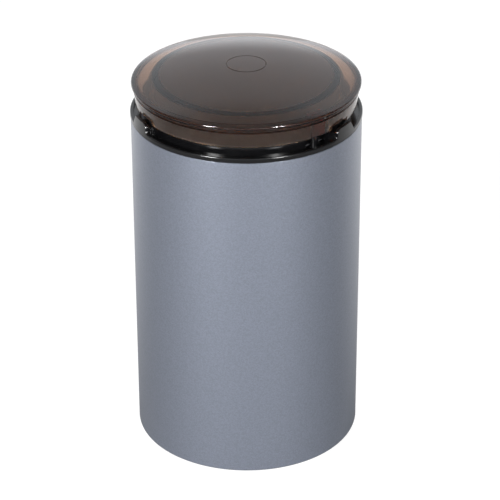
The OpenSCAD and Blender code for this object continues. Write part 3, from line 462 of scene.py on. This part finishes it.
def block(outline, bottom, r_in, r_out, turn, slot, mirrored=False, rounding=0.0):
    """A block that stands on a ring: its top follows (sideways, height) points."""
    work = bmesh.new()
    sides = []
    for r in (r_in, r_out):
        for along, height in outline:
            along = -along if mirrored else along
            depth = -math.sqrt(r * r - along * along)
            sides.append([work.verts.new((along, depth, z)) for z in (bottom, height)])
    count = len(outline)
    inner, outer = sides[:count], sides[count:]
    for a, b, c, d in zip(inner, inner[1:], outer, outer[1:]):
        work.faces.new((a[0], a[1], b[1], b[0]))
        work.faces.new((c[0], d[0], d[1], c[1]))
        work.faces.new((a[1], c[1], d[1], b[1]))
        work.faces.new((a[0], b[0], d[0], c[0]))
    for a, c in ((inner[0], outer[0]), (outer[-1], inner[-1])):
        work.faces.new((a[0], c[0], c[1], a[1]))
    mesh = bpy.data.meshes.new("block")
    work.to_mesh(mesh)
    work.free()
    mesh.transform(Matrix.Rotation(math.radians(turn), 4, "Z") @ Matrix.Diagonal((MM, MM, MM, 1)))
    mesh.materials.append(FINISHES[slot])
    made = piece("block", mesh)
    fix_mesh(mesh)
    if rounding:
        round_edges(made, rounding, segments=3, angle=40)
    return made


def rod(r, place, bottom, top, slot):
    """An upright round bar or hole."""
    work = bmesh.new()
    bmesh.ops.create_cone(work, cap_ends=True, segments=32, radius1=r * MM, radius2=r * MM,
                          depth=(top - bottom) * MM)
    mesh = bpy.data.meshes.new("rod")
    work.to_mesh(mesh)
    work.free()
    mesh.transform(Matrix.Translation(Vector((place.x, place.y, (bottom + top) / 2)) * MM))
    mesh.materials.append(FINISHES[slot])
    return piece("rod", mesh)


def softened(node, body, width, finish=None):
    """A copy of a CAD node with its edges rounded, which stands for the node."""
    mesh = nodes[node].data.copy()
    work = bmesh.new()
    work.from_mesh(mesh)
    bmesh.ops.remove_doubles(work, verts=work.verts, dist=WELD * MM)
    # The triangles of a flat side become one face
    bmesh.ops.dissolve_limit(work, angle_limit=math.radians(2), verts=work.verts,
                             edges=work.edges)
    work.to_mesh(mesh)
    work.free()
    made = piece(node + "_fine", mesh)
    round_edges(made, width, segments=2, angle=30)
    shade_evenly(made)
    if finish:
        made.data.materials[0] = finish
    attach(made, body)
    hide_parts(node)


# ---------- sizes shared by the shells ----------

BODY_R = high("outer_sleeve").x
SLEEVE_BOTTOM = low("outer_sleeve").z
SLEEVE_TOP = high("outer_sleeve").z
COLLAR_R = high("collar").x
LAND_BOTTOM = SLEEVE_TOP + 0.35
LAND_TOP = LAND_BOTTOM + 2.0
LAND_INNER_R = COLLAR_R - 1.4
GROOVE = LAND_TOP - 1.2
GUARD_OUT_R = 43.6
GUARD_IN_R = 42.0
GUARD_TOP = LAND_TOP + 5.7
SPIGOT_R = COLLAR_R - 3.2
SHELF_TOP = high("bowl_gasket").z - 0.4
GUIDE_BOTTOM = GROOVE - 19.6
# Each lug's turn, and whether its S-shaped end points the other way
LUGS = ((-61.4, False), (61.4, True), (180.0, False))
LUG_SIDE = 6.3
LUG_HEIGHT = 4.3
NOTCH_TURN = 2.3
TAB_TURN = 44.0
POCKET_HALF = 5.3
ROD_R = 1.6
ROD_RING_R = 42.6
POST_RING_R = 42.1
POST_PLACES = [on_ring(POST_RING_R, TAB_TURN + turn, 0) for turn in (60, 180, 300)]
POST_BOTTOM = SHELF_TOP - 6.6
FOOT_RING_R = 35.0

CROWN = high("lid").z
PLUG_BOTTOM = low("lid").z
PLUG_R = 38.1
LIP_R = high("lid").x
DOME_R = 171.2
DOME_CENTRE = CROWN - DOME_R
DOME_WALL = 2.0
EDGE_R = 46.9
SKIRT_BOTTOM = LAND_TOP + 3.65
SKIRT_LOW_R = 45.8
SKIRT_HIGH_R = 46.8
SKIRT_IN_R = SKIRT_LOW_R - 1.5
LIP_BOTTOM = SKIRT_BOTTOM + 7.1


def dome(r, wall=0.0):
    """Height of the dome's outer face, or of its inner face under a wall."""
    return DOME_CENTRE + math.sqrt((DOME_R - wall) ** 2 - r * r)


def key_turn(turn, mirrored):
    """Turn of the key block behind a lug, and of the notch that drops over it."""
    return turn - NOTCH_TURN if mirrored else turn + NOTCH_TURN


# ---------- sleeve ----------

def sleeve_shell():
    """Steel tube with a rolled hem at the bottom and the cut for the cord inlet."""
    wall = 0.8
    hem_r = BODY_R - 3.1
    roll = 0.6
    top_round = 0.15
    outline = [(hem_r, SLEEVE_BOTTOM)]
    outline += arc(BODY_R - roll, SLEEVE_BOTTOM + roll, roll, 270, 360, 6)
    outline += arc(BODY_R - top_round, SLEEVE_TOP - top_round, top_round, 0, 90, 3)
    outline += [(BODY_R - wall, SLEEVE_TOP), (BODY_R - wall, SLEEVE_BOTTOM + wall),
                (hem_r, SLEEVE_BOTTOM + wall)]
    made = turned("sleeve_shell", outline, "sleeve_paint")
    inlet_half = 6.1
    inlet_bottom, inlet_top = 10.9, 21.1
    cut = block(flat_top(inlet_half, inlet_top, 1), inlet_bottom, BODY_R - 4, BODY_R + 2, 180,
                "sleeve_paint")
    combine(made, [cut], "DIFFERENCE")
    shade_evenly(made)
    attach(made, "housing")
    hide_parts("outer_sleeve")


# ---------- collar ----------

def lug_top():
    """Top of a lug, seen from outside: a slanted end, a flat and an S-shaped end."""
    crest = LAND_TOP + LUG_HEIGHT
    foot = LAND_TOP - 0.05
    start = -LUG_SIDE - 0.3
    slant = 3.1
    fall = 2.2
    flare = 1.5
    line = [(start + slant * i / 6, foot + (crest - foot) * i / 6) for i in range(7)]
    line += [(start + slant + i, crest) for i in range(1, 7)]
    line += arc(LUG_SIDE - fall, crest - fall, fall, 90, 2, 10)
    line += arc(LUG_SIDE + flare, foot + flare, flare, 181, 268, 8)
    return line


def collar_outline():
    """Section of the ring, from the spigot's foot outwards and back over the shelf."""
    spigot_in_r = SPIGOT_R - 1.5
    spigot_bottom = LAND_BOTTOM - 6.5
    shelf_r = 39.5
    shelf_bottom = SHELF_TOP - 2
    foot_cut = 0.1
    land_round, inner_round, guard_round = 0.45, 0.15, 0.3
    outline = [(spigot_in_r, spigot_bottom), (SPIGOT_R, spigot_bottom), (SPIGOT_R, LAND_BOTTOM),
               (COLLAR_R - foot_cut, LAND_BOTTOM), (COLLAR_R, LAND_BOTTOM + foot_cut)]
    outline += arc(COLLAR_R - land_round, LAND_TOP - land_round, land_round, 0, 90, 6)
    outline += arc(LAND_INNER_R + inner_round, LAND_TOP - inner_round, inner_round, 90, 180, 3)
    outline += [(LAND_INNER_R, GROOVE), (GUARD_OUT_R, GROOVE)]
    outline += arc(GUARD_OUT_R - guard_round, GUARD_TOP - guard_round, guard_round, 0, 90, 3)
    outline += arc(GUARD_IN_R + guard_round, GUARD_TOP - guard_round, guard_round, 90, 180, 3)
    return outline + [(GUARD_IN_R, SHELF_TOP), (shelf_r, SHELF_TOP), (shelf_r, shelf_bottom),
                      (spigot_in_r, shelf_bottom)]


def collar_blocks():
    """What is joined to the ring: lugs, key blocks, the push rod's guide and screw posts."""
    root = LAND_BOTTOM + 0.5
    lug_in_r, lug_out_r = COLLAR_R - 1.32, COLLAR_R - 0.02
    key = flat_top(4.4, LAND_TOP + 2.5, 8)
    key_in_r, key_out_r = 42.8, 47.4
    made = []
    for turn, mirrored in LUGS:
        made.append(block(lug_top(), root, lug_in_r, lug_out_r, turn, "black_gloss", mirrored,
                          rounding=0.3))
        made.append(block(key, root, key_in_r, key_out_r, key_turn(turn, mirrored),
                          "black_gloss", rounding=0.2))
    # The guide and the posts end inside the shelf
    top = SHELF_TOP - 1
    guide_in_r = 39.6
    made.append(block(flat_top(4, top, 8), GUIDE_BOTTOM, guide_in_r, SPIGOT_R - 0.4, TAB_TURN,
                      "black_gloss", rounding=0.4))
    post_r = 2.4
    return made + [rod(post_r, place, POST_BOTTOM, top, "black_gloss") for place in POST_PLACES]


def collar_cuts():
    """What is cut from the ring: the switch pocket, the rod's hole and blind screw holes."""
    pocket_in_r, pocket_out_r = 30, 44.8
    rod_hole_r = ROD_R + 0.2
    screw_hole_r = 1.25
    made = [block(flat_top(POCKET_HALF, GUARD_TOP + 5, 1), GROOVE - 0.3, pocket_in_r,
                  pocket_out_r, TAB_TURN, "black_gloss"),
            rod(rod_hole_r, on_ring(ROD_RING_R, TAB_TURN, 0), GUIDE_BOTTOM - 1, GROOVE + 3,
                "black_gloss")]
    return made + [rod(screw_hole_r, place, POST_BOTTOM - 1, POST_BOTTOM + 5, "black_gloss")
                   for place in POST_PLACES]


def painted_shade_screen():
    """A thin black screen between the seal and the rod, put there as painted shade: it keeps the
    gap under the tab dark.
    """
    bottom = high("grinding_bowl").z + 0.05
    top = bottom + 3.2
    shade_screen_r = high("lid_seal").x + 0.15
    web = 0.8
    made = [block(flat_top(1.1 * POCKET_HALF, top, 10), bottom, shade_screen_r, shade_screen_r + 0.4,
                  TAB_TURN, "black_gloss")]
    return made + [block([(side, top), (side + web, top)], bottom, shade_screen_r + 0.1,
                         GUARD_IN_R + 0.4, TAB_TURN, "black_gloss")
                   for side in (-POCKET_HALF - 0.6, POCKET_HALF - 0.2)]


def collar_shell():
    """The black ring: land, groove, guard wall, lugs, key blocks, shelf, spigot and posts."""
    made = turned("collar_shell", collar_outline(), "black_gloss", columns=288)
    combine(made, collar_blocks(), "UNION")
    combine(made, collar_cuts(), "DIFFERENCE")
    # The black screen is painted shade in the gap under the tab
    combine(made, painted_shade_screen(), "UNION")
    shade_evenly(made)
    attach(made, "housing")
    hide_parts("collar")


# ---------- lid ----------

def notch_top():
    """Outline of a notch in the skirt: an upright end and an S-shaped end."""
    start = -6.4
    bend = 4.7
    crest = SKIRT_BOTTOM + 2.15
    small = 1.1
    below = SKIRT_BOTTOM - 0.4
    line = [(start, below), (start + 0.01, SKIRT_BOTTOM), (start + 0.4, crest)]
    line += [(start + 0.4 + 1.07 * i, crest) for i in range(1, 10)]
    line += arc(bend, crest - small, small, 88, 2, 6)
    line += arc(bend + 2 * small, SKIRT_BOTTOM + small, small, 181, 268, 6)
    line += [(bend + 2 * small + 0.5, below)]
    return line


def lid_outline():
    """Section of the lid, from the crown over the lip, the skirt and the plug to the inside."""
    edge = dome(EDGE_R)
    # The fine ring on the crown is a shallow groove
    ring_r = 8.15
    outline = [(0, CROWN)] + [(r, dome(r)) for r in (2, 4, 6, ring_r - 0.22)]
    outline += [(ring_r + out, dome(ring_r) - depth)
                for out, depth in ((-0.1, 0.16), (0, 0.2), (0.1, 0.16), (0.22, 0))]
    outline += [(10 + 2.3 * i, dome(10 + 2.3 * i)) for i in range(16)]
    outline += [(r, dome(r)) for r in (45.2, EDGE_R - 0.5)]
    lip_round = 0.7
    outline += arc(LIP_R - lip_round, edge - 0.75, lip_round, 62, -30, 8)
    # A narrow neck runs under the lip
    outline += [(SKIRT_HIGH_R + out, LIP_BOTTOM + up)
                for out, up in ((0.25, 0.9), (-0.35, 0.75), (-0.55, 0.5), (-0.6, 0.1),
                                (-0.55, -0.3), (-0.3, -0.5), (-0.12, -0.75))]
    outline += arc(SKIRT_LOW_R - 0.25, SKIRT_BOTTOM + 0.25, 0.25, 0, -90, 4)
    outline += arc(SKIRT_IN_R + 0.2, SKIRT_BOTTOM + 0.2, 0.2, 270, 180, 3)
    outline += [(SKIRT_IN_R + 1, LIP_BOTTOM), (SKIRT_IN_R + 0.8, LIP_BOTTOM + 0.7),
                (SKIRT_IN_R, dome(SKIRT_IN_R, DOME_WALL) - 0.05)]
    outline += [(r, dome(r, DOME_WALL)) for r in (43, 41.5, 40, 38.8)]
    # The plug inside the bowl, with the groove for its seal
    seal_low, seal_high = low("lid_seal").z, high("lid_seal").z
    groove_r = PLUG_R - 0.6
    in_r = PLUG_R - 2.2
    foot_round = 0.4
    outline += [(PLUG_R + 0.1, dome(PLUG_R, DOME_WALL) - 0.3),
                (PLUG_R, dome(PLUG_R, DOME_WALL) - 0.8), (PLUG_R, seal_high),
                (groove_r, seal_high), (groove_r, seal_low), (PLUG_R, seal_low)]
    outline += arc(PLUG_R - foot_round, PLUG_BOTTOM + foot_round, foot_round, 0, -90, 4)
    outline += arc(in_r + foot_round, PLUG_BOTTOM + foot_round, foot_round, 270, 180, 4)
    outline += [(in_r, dome(in_r, DOME_WALL) - 0.6), (in_r - 0.2, dome(in_r, DOME_WALL) - 0.15),
                (in_r - 0.6, dome(in_r - 0.6, DOME_WALL))]
    return outline + [(r, dome(r, DOME_WALL)) for r in (32, 28, 24, 20, 16, 12, 8, 4, 0)]


def mark_lid(made):
    """Says how frosted each face is, and where the colour is darkened as painted shade: at the
    dome's rim and under the lip.
    """
    # How strong the painted shade is: a dark rim at the dome's edge and a shadow line under the
    # lip
    rim_r, rim_bottom, rim_shade = 45.3, dome(EDGE_R) - 0.5, 0.65
    lip_r, lip_bottom, lip_shade = SKIRT_HIGH_R - 0.62, LIP_BOTTOM - 0.8, 1.0
    crown_frost, band_frost, skirt_frost = 1.0, 0.12, 0.8
    tab_half = 4.2
    tab = on_ring(1, TAB_TURN, 0).xy
    frosted = made.data.attributes.new("frosted", "FLOAT", "FACE")
    painted_shade = made.data.attributes.new("painted_shade", "FLOAT", "FACE")
    for face, frost, depth in zip(made.data.polygons, frosted.data, painted_shade.data):
        middle = face.center / MM
        out = middle.xy.length
        inside = middle.z < dome(out, DOME_WALL / 2)
        behind_tab = (middle.xy.normalized() - tab).length < tab_half / SKIRT_IN_R
        # Painted shade: a darker rim at the dome's edge, and a shadow line under the lip
        if out > rim_r and middle.z > rim_bottom:
            depth.value = rim_shade
        elif out > lip_r and middle.z > lip_bottom:
            depth.value = lip_shade
        if out < PLUG_R + 0.2 and inside:
            frost.value = crown_frost
        elif out < SKIRT_IN_R - 0.1 and inside:
            frost.value = band_frost
        elif out < SKIRT_IN_R + 1.1 and middle.z < LIP_BOTTOM + 1 and not behind_tab:
            frost.value = skirt_frost


def lid_shell():
    """Dome with its lip, tapered skirt with notches, and plug with its seal groove."""
    made = turned("lid_shell", lid_outline(), "smoked_lid", columns=288, closed=False)
    cuts = [block(notch_top(), SKIRT_BOTTOM - 1, GUARD_OUT_R + 0.1, 50, key_turn(turn, mirrored),
                  "smoked_lid", mirrored)
            for turn, mirrored in LUGS]
    combine(made, cuts, "DIFFERENCE")
    mark_lid(made)
    shade_evenly(made)
    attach(made, "lid")
    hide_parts("lid")


def switch_tab():
    """The thick block behind the skirt that presses the push rod."""
    half = 3.8
    in_r, out_r = 41.0, 44.25
    made = block(flat_top(half, LIP_BOTTOM + 1.2, 8), SKIRT_BOTTOM, in_r, out_r, TAB_TURN,
                 "smoked_lid", rounding=0.3)
    made.name = "switch_tab"
    made.data.materials.clear()
    made.data.materials.append(DEEP_SMOKE)
    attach(made, "lid")


# ---------- bowl ----------

def bowl_shell():
    """Drawn and spun steel cup with a flange and a hole for the hub."""
    seat, rim = low("grinding_bowl").z, high("grinding_bowl").z
    wall = 0.6
    out_r = 39.1
    flange_r = high("grinding_bowl").x
    corner = 7.0
    rim_round = 0.5
    neck_r = 6.6
    outline = [(neck_r, seat), (out_r - corner, seat)]
    outline += arc(out_r - corner, seat + corner, corner, 270, 360, 14)
    outline += [(out_r, rim - wall), (flange_r, rim - wall), (flange_r, rim)]
    outline += arc(out_r - wall + rim_round, rim - rim_round, rim_round, 90, 180, 4)
    outline += arc(out_r - corner, seat + corner, corner - wall, 360, 270, 14)
    outline += [(r, seat + wall) for r in (26, 18, neck_r)]
    made = turned("bowl_shell", outline, "stainless", columns=192)
    shade_evenly(made)
    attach(made, "housing")
    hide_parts("grinding_bowl")


# ---------- feet ----------

def ring_tree():
    """Repeats one piece on a ring round the Z axis."""
    tree, given = node_group("repeat_on_ring", [("Count", "Int"), ("Radius", "Float"),
                                                ("First Turn", "Float"),
                                                ("Material", "Material")])
    ring = add(tree, "GeometryNodeMeshCircle",
               {"Vertices": given["Count"], "Radius": given["Radius"]})
    turn = add(tree, "ShaderNodeCombineXYZ", {"Z": given["First Turn"]})
    turned_ring = add(tree, "GeometryNodeTransform",
                      {"Geometry": ring.outputs[0], "Rotation": turn.outputs[0]})
    placed = add(tree, "GeometryNodeInstanceOnPoints",
                 {"Points": turned_ring.outputs[0], "Instance": given["Geometry"]})
    finish_tree(tree, placed.outputs[0], given["Material"])
    return tree


def rubber_feet():
    """Four rubber buttons with a rounded edge and a shallow dish, so that they grip by suction."""
    r = 5.0
    top = high("feet").z
    edge = 0.6
    dish = [(0, 0.35), (2.4, 0.35), (2.9, 0.25), (3.3, 0)]
    outline = dish + [(3.6, 0), (r - edge, 0)]
    outline += arc(r - edge, edge, edge, 270, 360, 5)
    outline += [(r, top - 0.1), (r - 0.1, top), (0, top)]
    made = turned("rubber_feet", outline, "rubber_black", columns=48, closed=False)
    run_tree(made, ring_tree(),
             {"Count": 4, "Radius": FOOT_RING_R * MM, "First Turn": math.radians(45),
              "Material": FINISHES["rubber_black"]})
    fix_mesh(made.data)
    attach(made, "housing")
    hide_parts("feet")


# ---------- return spring ----------

def coil_tree():
    """Wire wound on a spiral between two heights."""
    tree, given = node_group("wound_spring", [("Turns", "Float"), ("Height", "Float"),
                                              ("Coil Radius", "Float"), ("Wire Radius", "Float"),
                                              ("Material", "Material")])
    spiral = add(tree, "GeometryNodeCurveSpiral",
                 {"Resolution": 28, "Rotations": given["Turns"], "Height": given["Height"],
                  "Start Radius": given["Coil Radius"], "End Radius": given["Coil Radius"]})
    section = add(tree, "GeometryNodeCurvePrimitiveCircle",
                  {"Resolution": 10, "Radius": given["Wire Radius"]})
    wire = add(tree, "GeometryNodeCurveToMesh",
               {"Curve": spiral.outputs[0], "Profile Curve": section.outputs[0],
                "Fill Caps": True})
    finish_tree(tree, wire.outputs[0], given["Material"])
    return tree


def return_coil():
    """The spring that lifts the push rod. Here it keeps one length, though the real one shortens
    as the lid is pressed.
    """
    wire_r = 0.25
    coil_r = 2.05
    bottom, top = low("rod_spring").z, high("rod_spring").z
    place = on_ring(ROD_RING_R, TAB_TURN, bottom + wire_r)
    mesh = bpy.data.meshes.new("return_coil")
    mesh.from_pydata([(0, 0, 0)], [], [])
    made = piece("return_coil", mesh)
    run_tree(made, coil_tree(),
             {"Turns": 8.0, "Height": (top - bottom - 2 * wire_r) * MM,
              "Coil Radius": coil_r * MM, "Wire Radius": wire_r * MM,
              "Material": FINISHES["stainless"]})
    made.data.transform(Matrix.Translation(place * MM))
    fix_mesh(made.data)
    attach(made, "housing")
    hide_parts("rod_spring")
    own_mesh(made)


# ---------- studio ----------

# Pitch, yaw and roll are in radians
CAMERA_DISTANCE = 864.54
CAMERA_HEIGHT = 554.90
CAMERA_PITCH = 0.500200
CAMERA_YAW = 0.001539
CAMERA_ROLL = -0.002971
CAMERA_TURN = 4.2
SENSOR = 36
LENS = 165.5155
TABLE_TURN = 8.0
LAMP_DISTANCE = 1400
LAMP_HEIGHT = 550
LAMP_SIZE = (380, 900)
LAMP_AIM = 80


def camera():
    """The camera looks down at the front, a little from the right."""
    ahead = Vector((math.sin(CAMERA_YAW) * math.cos(CAMERA_PITCH),
                    math.cos(CAMERA_YAW) * math.cos(CAMERA_PITCH), -math.sin(CAMERA_PITCH)))
    level = Vector((math.cos(CAMERA_YAW), -math.sin(CAMERA_YAW), 0))
    above = level.cross(ahead)
    right = level * math.cos(CAMERA_ROLL) + above * math.sin(CAMERA_ROLL)
    up = above * math.cos(CAMERA_ROLL) - level * math.sin(CAMERA_ROLL)
    aim = Matrix((right, up, -ahead)).transposed().to_4x4()
    place = Matrix.Translation(Vector((0, -CAMERA_DISTANCE, CAMERA_HEIGHT)) * MM)
    data = bpy.data.cameras.new("camera")
    data.sensor_width = SENSOR
    data.lens = LENS
    made = piece("camera", data)
    made.matrix_world = Matrix.Rotation(math.radians(CAMERA_TURN), 4, "Z") @ place @ aim
    bpy.context.scene.camera = made


def floor():
    """A pale sweep that stays white to the camera and takes a faint shadow.

    Reflections see a painted glow on it, only behind the grinder and, weakly, close in front of
    it.
    """
    half = 6.0
    mesh = bpy.data.meshes.new("floor")
    level = -0.05 * MM
    corners = [(-half, -half, level), (half, -half, level), (half, half, level),
               (-half, half, level)]
    mesh.from_pydata(corners, [], [(0, 1, 2, 3)])
    made = piece("floor", mesh)
    paint, tree, shader, where = surface("white_sweep", {
        "Base Color": linear("#7a7a7a"), "Roughness": 1.0, "Specular IOR Level": 0.0,
        "Emission Color": (1, 1, 1, 1)})
    path = add(tree, "ShaderNodeLightPath").outputs
    place = add(tree, "ShaderNodeSeparateXYZ", {"Vector": where})
    # From one Y to another, in metres, the painted glow climbs from nothing to a strength
    near, behind = (
        add(tree, "ShaderNodeMapRange",
            {"Value": place.outputs["Y"], "From Min": start, "From Max": end,
             "To Min": 0.0, "To Max": strength})
        for start, end, strength in ((-0.36, -0.22, 0.12), (0.0, 0.25, 0.75)))
    # Painted light: two pools of glow on the floor, seen only in reflections
    painted_glow = add(tree, "ShaderNodeMath", {0: near.outputs[0], 1: behind.outputs[0]})
    mirrored = add(tree, "ShaderNodeMath",
                   {0: path["Is Glossy Ray"], 1: path["Is Transmission Ray"]}, use_clamp=True)
    camera_glow = 0.88
    seen = add(tree, "ShaderNodeMath", {0: path["Is Camera Ray"], 1: camera_glow},
               operation="MULTIPLY")
    glow = add(tree, "ShaderNodeMath",
               {0: mirrored.outputs[0], 1: painted_glow.outputs[0], 2: seen.outputs[0]},
               operation="MULTIPLY_ADD")
    tree.links.new(glow.outputs[0], shader.inputs["Emission Strength"])
    mesh.materials.append(paint)


def world():
    """A white room behind, a pale table in front, dim at the sides and overhead."""
    made = bpy.data.worlds.new("white_room")
    made.use_nodes = True
    tree = made.node_tree
    tree.nodes.clear()
    where = add(tree, "ShaderNodeTexCoord").outputs["Generated"]
    height = add(tree, "ShaderNodeSeparateXYZ", {"Vector": where}).outputs["Z"]
    flat = add(tree, "ShaderNodeVectorMath", {0: where, 1: (1, 1, 0)}, operation="MULTIPLY")
    level = add(tree, "ShaderNodeVectorMath", {0: flat.outputs[0]}, operation="NORMALIZE")
    # 1 towards the camera or the table, and -1 opposite
    camera_side, table_side = (
        add(tree, "ShaderNodeVectorMath", {0: level.outputs[0], 1: on_ring(1, turn, 0)},
            operation="DOT_PRODUCT").outputs["Value"]
        for turn in (CAMERA_TURN, CAMERA_TURN + TABLE_TURN))
    # What each light follows, from where to where, and its strength at either end
    light = {}
    for name, value, start, end, at_start, at_end in (
            ("ceiling", height, 0.66, 0.92, 0.12, 0.4),
            ("wall foot", height, 0.05, 0.25, 1.3, 0.74),
            ("wall top", height, 0.66, 0.88, 1, 0),
            ("wall spread", camera_side, -0.3, -0.8, 0, 1.4),
            ("wall dip", camera_side, -0.85, -1, 0, 0.35),
            ("table width", table_side, 0.62, 0.97, 0, 1),
            ("table height", height, 0.05, 0.55, 2.0, 0)):
        light[name] = add(tree, "ShaderNodeMapRange",
                          {"Value": value, "From Min": start, "From Max": end,
                           "To Min": at_start, "To Max": at_end},
                          interpolation_type="SMOOTHSTEP").outputs[0]
    # Each of these is made of two others
    for name, first, operation, second in (
            ("wall height", "wall foot", "MULTIPLY", "wall top"),
            ("wall width", "wall spread", "SUBTRACT", "wall dip"),
            ("wall", "wall width", "MULTIPLY", "wall height"),
            ("table", "table width", "MULTIPLY", "table height"),
            ("sides", "wall", "ADD", "table"),
            ("room", "ceiling", "ADD", "sides")):
        light[name] = add(tree, "ShaderNodeMath", {0: light[first], 1: light[second]},
                          operation=operation).outputs[0]
    glow = add(tree, "ShaderNodeBackground",
               {"Color": linear("#f4f7fc"), "Strength": light["room"]})
    add(tree, "ShaderNodeOutputWorld", {"Surface": glow.outputs[0]})
    bpy.context.scene.world = made


def softbox(name, turn, power):
    """A rectangular lamp aimed at the grinder's middle.

    Its cloth glows most in the middle, so that its reflection has soft edges.
    """
    data = bpy.data.lights.new(name, "AREA")
    data.shape = "RECTANGLE"
    data.size, data.size_y = (side * MM for side in LAMP_SIZE)
    data.energy = power
    data.use_nodes = True
    tree = data.node_tree
    place = add(tree, "ShaderNodeNewGeometry").outputs["Parametric"]
    out = add(tree, "ShaderNodeVectorMath", {0: place, 1: (0.5, 0.5, 0)}, operation="SUBTRACT")
    away = add(tree, "ShaderNodeVectorMath", {0: out.outputs[0]}, operation="ABSOLUTE")
    split = add(tree, "ShaderNodeSeparateXYZ", {"Vector": away.outputs[0]})
    fades = [add(tree, "ShaderNodeMapRange",
                 {"Value": split.outputs[axis], "From Min": 0.5, "From Max": 0.1},
                 interpolation_type="SMOOTHSTEP").outputs[0] for axis in "XY"]
    cloth = add(tree, "ShaderNodeMath", {0: fades[0], 1: fades[1]}, operation="MULTIPLY")
    # Each fade lets 0.6 of the light through on average, and this makes up for both
    glow = add(tree, "ShaderNodeMath", {0: cloth.outputs[0], 1: 1 / 0.36}, operation="MULTIPLY")
    tree.links.new(glow.outputs[0], tree.nodes["Emission"].inputs["Strength"])
    made = piece(name, data)
    made.location = on_ring(LAMP_DISTANCE, turn, LAMP_HEIGHT) * MM
    aim = Vector((0, 0, LAMP_AIM * MM)) - made.location
    made.rotation_euler = aim.to_track_quat("-Z", "Y").to_euler()


sleeve_shell()
collar_shell()
lid_shell()
switch_tab()
bowl_shell()
return_coil()
rubber_feet()
for node, slot, body, width in (
        ("cord_gland", "rubber_black", "housing", 0.45),
        ("base_cover", "black_matte", "housing", 0.25),
        ("blade", "stainless", "rotor", 0.12),
        ("blade_nut", "stainless", "rotor", 0.25),
        ("blade_hub", "stainless", "rotor", 0.2),
        ("lid_seal", "seal_grey", "lid", 0.25),
        ("bowl_clamp_nut", "stainless", "housing", 0.25)):
    softened(node, body, width)
# The rod is polished where it runs in its guides
softened("push_rod", "push_rod", 0.3, FINISHES["black_gloss"])
camera()
floor()
world()
softbox("left_box", CAMERA_TURN - 35, 39)
softbox("right_box", CAMERA_TURN + 31, 24)

bpy.context.scene.view_settings.view_transform = "Standard"
